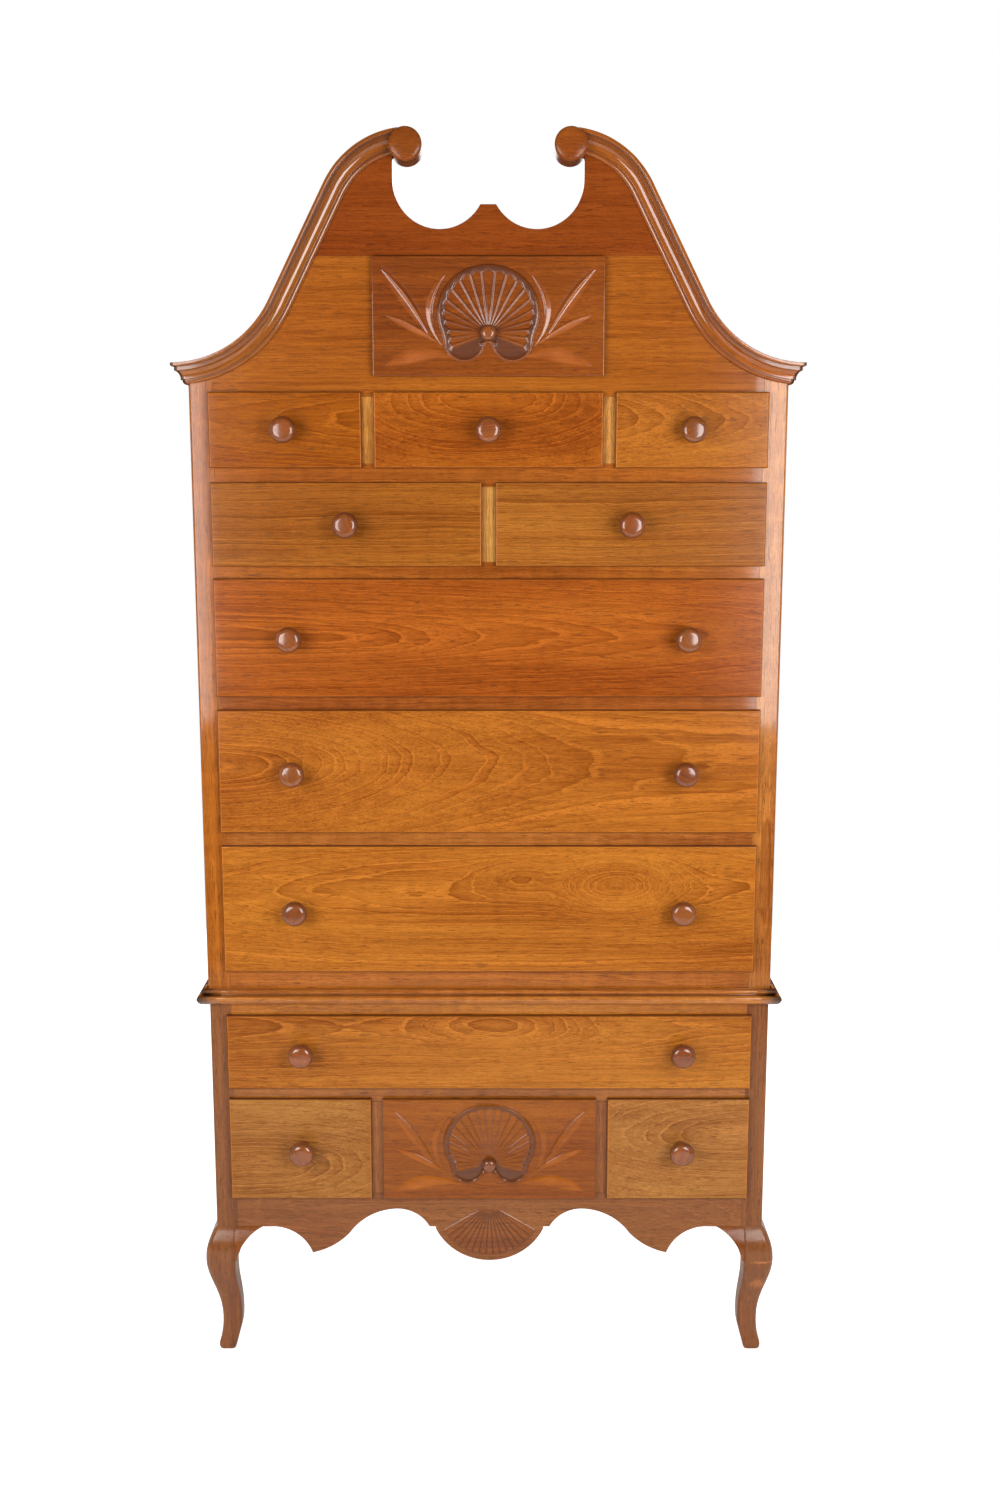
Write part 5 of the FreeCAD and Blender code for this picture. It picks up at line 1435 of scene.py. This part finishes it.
class HIGHBOY_OT_knobs(Operator):
    """Turned knobs with a low face and a round rim, and the small buttons of the two shells"""

    bl_idname = "highboy.knobs"
    bl_label = "Knobs"

    def execute(self, context):
        for drawer in PLAIN_DRAWERS + CARVED_DRAWERS:
            turned_pulls(drawer)
        return {"FINISHED"}


def polish(made, look):
    made.data.materials.clear()
    made.data.materials.append(finish(look))


class HIGHBOY_OT_drawer_boxes(Operator):
    """The bare wood boxes behind the fronts"""

    bl_idname = "highboy.drawer_boxes"
    bl_label = "Drawer boxes"

    def execute(self, context):
        ease = context.scene.highboy_workmanship.ease
        for drawer in PLAIN_DRAWERS + CARVED_DRAWERS:
            dressed(drawer + "_box", drawer, "lining", ease)
        return {"FINISHED"}


class HIGHBOY_OT_upper_case(Operator):
    """Sides, stiles, rails and hidden boards of the upper case"""

    bl_idname = "highboy.upper_case"
    bl_label = "Upper case"

    def execute(self, context):
        ease = context.scene.highboy_workmanship.ease
        for node, slot, look in (
            ("upper_sides", "side_wood", "frame"),
            ("upper_stiles", "frame_wood", "frame"),
            ("upper_rails_and_dividers", "frame_wood", "frame"),
            ("upper_top_board", "hidden_wood", "lining"),
            ("upper_bottom_board", "hidden_wood", "lining"),
            ("upper_back_boards", "hidden_wood", "lining"),
            ("upper_drawer_bearers", "hidden_wood", "lining"),
            ("pediment_drawer_housing", "hidden_wood", "lining"),
        ):
            dressed(node, CASE, look, ease, UPPER_HALF if node == "upper_stiles" else None)
        return {"FINISHED"}


class HIGHBOY_OT_pediment(Operator):
    """The scrolled planks of the pediment"""

    bl_idname = "highboy.pediment"
    bl_label = "Pediment planks"

    def execute(self, context):
        pediment()
        return {"FINISHED"}


class HIGHBOY_OT_mouldings(Operator):
    """Raking cornice, its returns, the rosettes and the waist moulding"""

    bl_idname = "highboy.mouldings"
    bl_label = "Mouldings"

    def execute(self, context):
        cornice()
        rosettes()
        waist()
        return {"FINISHED"}


class HIGHBOY_OT_lower_case(Operator):
    """Posts, sides, rails and hidden boards of the lower case"""

    bl_idname = "highboy.lower_case"
    bl_label = "Lower case"

    def execute(self, context):
        ease = context.scene.highboy_workmanship.ease
        for node, slot, look in (
            ("lower_sides", "side_wood", "apron"),
            ("lower_corner_posts", "leg_wood", "apron"),
            ("lower_rails_and_dividers", "frame_wood", "frame"),
            ("lower_back_boards", "hidden_wood", "lining"),
            ("lower_drawer_bearers", "hidden_wood", "lining"),
            ("knee_brackets", "leg_wood", "apron"),
        ):
            dressed(node, CASE, look, ease)
        return {"FINISHED"}


class HIGHBOY_OT_apron(Operator):
    """The shaped apron with its carved fan"""

    bl_idname = "highboy.apron"
    bl_label = "Apron and fan"

    def execute(self, context):
        apron_board(context.scene.highboy_workmanship)
        apron_fan(context.scene.highboy_workmanship)
        return {"FINISHED"}


class HIGHBOY_OT_legs(Operator):
    """Finish the cabriole legs"""

    bl_idname = "highboy.legs"
    bl_label = "Legs"

    def execute(self, context):
        for node in ("front_legs", "rear_legs"):
            polish(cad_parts[node], "leg")
        return {"FINISHED"}


class HIGHBOY_OT_studio(Operator):
    """Pale floor, soft lamps and the camera"""

    bl_idname = "highboy.studio"
    bl_label = "Studio"

    def execute(self, context):
        settings = context.scene.highboy_studio
        studio_camera(settings)
        studio_floor()
        studio_room(settings)
        studio_lamps(settings)
        context.scene.view_settings.view_transform = "Standard"
        return {"FINISHED"}


def studio_camera(settings):
    data = bpy.data.cameras.new("camera")
    data.sensor_width = 36
    data.sensor_fit = "AUTO"
    data.lens = settings.lens
    made = placed("camera", data, (settings.aside, FACE_Y - settings.distance, settings.height))
    made.rotation_euler = (math.pi / 2 - settings.dip, 0, 0)
    bpy.context.scene.camera = made


FLOOR_RADIUS = 2.6
WHITE = (1, 1, 1, 1)
GLOSS_DIMMED = 0.9  # share of the room's light that mirrors in the varnish don't get


def studio_floor():
    """A pale disc that keeps the shadow and reads as white to the camera."""
    data = bpy.data.meshes.new("floor")
    work = bmesh.new()
    bmesh.ops.create_circle(work, cap_ends=True, segments=128, radius=FLOOR_RADIUS)
    work.to_mesh(data)
    work.free()
    f = Finish("floor paint")
    speckle = f.noise(f.here(), (3.0, 3.0, 3.0))
    f.feed(f.inputs["Base Color"], f.blend(speckle, (0.90, 0.90, 0.90, 1), (0.93, 0.93, 0.93, 1)))
    f.inputs["Roughness"].default_value = 0.9
    f.inputs["Specular IOR Level"].default_value = 0.1
    f.inputs["Emission Color"].default_value = WHITE
    seen = f.node("LightPath").outputs["Is Camera Ray"]
    lift = f.remap(f.length(f.here()), 0.5, 1.8, 0.70, 0.95)
    f.feed(f.inputs["Emission Strength"], f.times(seen, lift))
    data.materials.append(f.material)
    placed("floor", data)


def studio_room(settings):
    """White behind the object, and an even grey light from all round."""
    world = bpy.data.worlds.new("room")
    world.use_nodes = True
    bpy.context.scene.world = world
    room = Nodes(world.node_tree)
    ray = room.node("LightPath").outputs
    dimmed = room.node("Math", {
        0: ray["Is Glossy Ray"], 1: -GLOSS_DIMMED * settings.room, 2: settings.room,
    }, operation="MULTIPLY_ADD").outputs[0]
    light = room.tree.nodes["Background"]
    room.feed(light.inputs["Color"], WHITE)
    room.feed(light.inputs["Strength"], dimmed)
    white = room.node("Background", {"Color": WHITE, "Strength": 1.0}).outputs[0]
    mix = room.node("MixShader", {0: ray["Is Camera Ray"], 1: light.outputs[0], 2: white}).outputs[0]
    room.feed(room.tree.nodes["World Output"].inputs["Surface"], mix)


def lamp(name, place, aim, width, height, power):
    """A soft rectangular lamp that looks at a point."""
    data = bpy.data.lights.new(name, "AREA")
    data.shape = "RECTANGLE"
    data.size = width
    data.size_y = height
    data.energy = power
    made = placed(name, data, place)
    made.rotation_euler = (Vector(aim) - Vector(place)).to_track_quat("-Z", "Y").to_euler()


def studio_lamps(settings):
    face = (0.0, FACE_Y, 1.40)
    for name, x, width, side in (("left lamp", -1.27, 1.15, -1), ("right lamp", 1.14, 1.00, 1)):
        lamp(name, (x, -1.85, 1.42), face, width, 1.20, settings.lamps)
        lamp(name + " at the side", (side * 2.2, 0.1, 1.3), (0, 0, 1.2), 1.2, 2.4, settings.lamps * 0.25)
    lamp("lamp behind", (0, 2.0, 2.9), (0, 0.1, 1.5), 2.8, 2.0, settings.lamps * 1.4)


OPERATORS = (
    HIGHBOY_OT_plain_fronts, HIGHBOY_OT_carved_fronts, HIGHBOY_OT_knobs, HIGHBOY_OT_drawer_boxes,
    HIGHBOY_OT_upper_case, HIGHBOY_OT_pediment, HIGHBOY_OT_mouldings, HIGHBOY_OT_lower_case,
    HIGHBOY_OT_apron, HIGHBOY_OT_legs, HIGHBOY_OT_studio,
)


class HIGHBOY_PT_sidebar(Panel):
    """The highboy's settings and the steps that dress it"""

    bl_idname = "HIGHBOY_PT_sidebar"
    bl_label = "Highboy"
    bl_space_type = "VIEW_3D"
    bl_region_type = "UI"
    bl_category = "Highboy"

    def draw(self, context):
        scene = context.scene
        for group in (scene.highboy_wood, scene.highboy_workmanship, scene.highboy_studio):
            box = self.layout.box()
            for key in group.__annotations__:
                box.prop(group, key)
        for step in OPERATORS:
            self.layout.operator(step.bl_idname)


GROUPS = (
    ("highboy_wood", HighboyWood),
    ("highboy_workmanship", HighboyWorkmanship),
    ("highboy_studio", HighboyStudio),
)


def register():
    for name, group in GROUPS:
        bpy.utils.register_class(group)
        setattr(bpy.types.Scene, name, PointerProperty(type=group))
    for step in OPERATORS:
        bpy.utils.register_class(step)
    bpy.utils.register_class(HIGHBOY_PT_sidebar)


def unregister():
    bpy.utils.unregister_class(HIGHBOY_PT_sidebar)
    for step in reversed(OPERATORS):
        bpy.utils.unregister_class(step)
    for name, group in reversed(GROUPS):
        delattr(bpy.types.Scene, name)
        bpy.utils.unregister_class(group)


def main():
    register()
    bpy.ops.highboy.plain_fronts()
    bpy.ops.highboy.carved_fronts()
    bpy.ops.highboy.knobs()
    bpy.ops.highboy.drawer_boxes()
    bpy.ops.highboy.upper_case()
    bpy.ops.highboy.pediment()
    bpy.ops.highboy.mouldings()
    bpy.ops.highboy.lower_case()
    bpy.ops.highboy.apron()
    bpy.ops.highboy.legs()
    bpy.ops.highboy.studio()


if __name__ == "__main__":
    main()
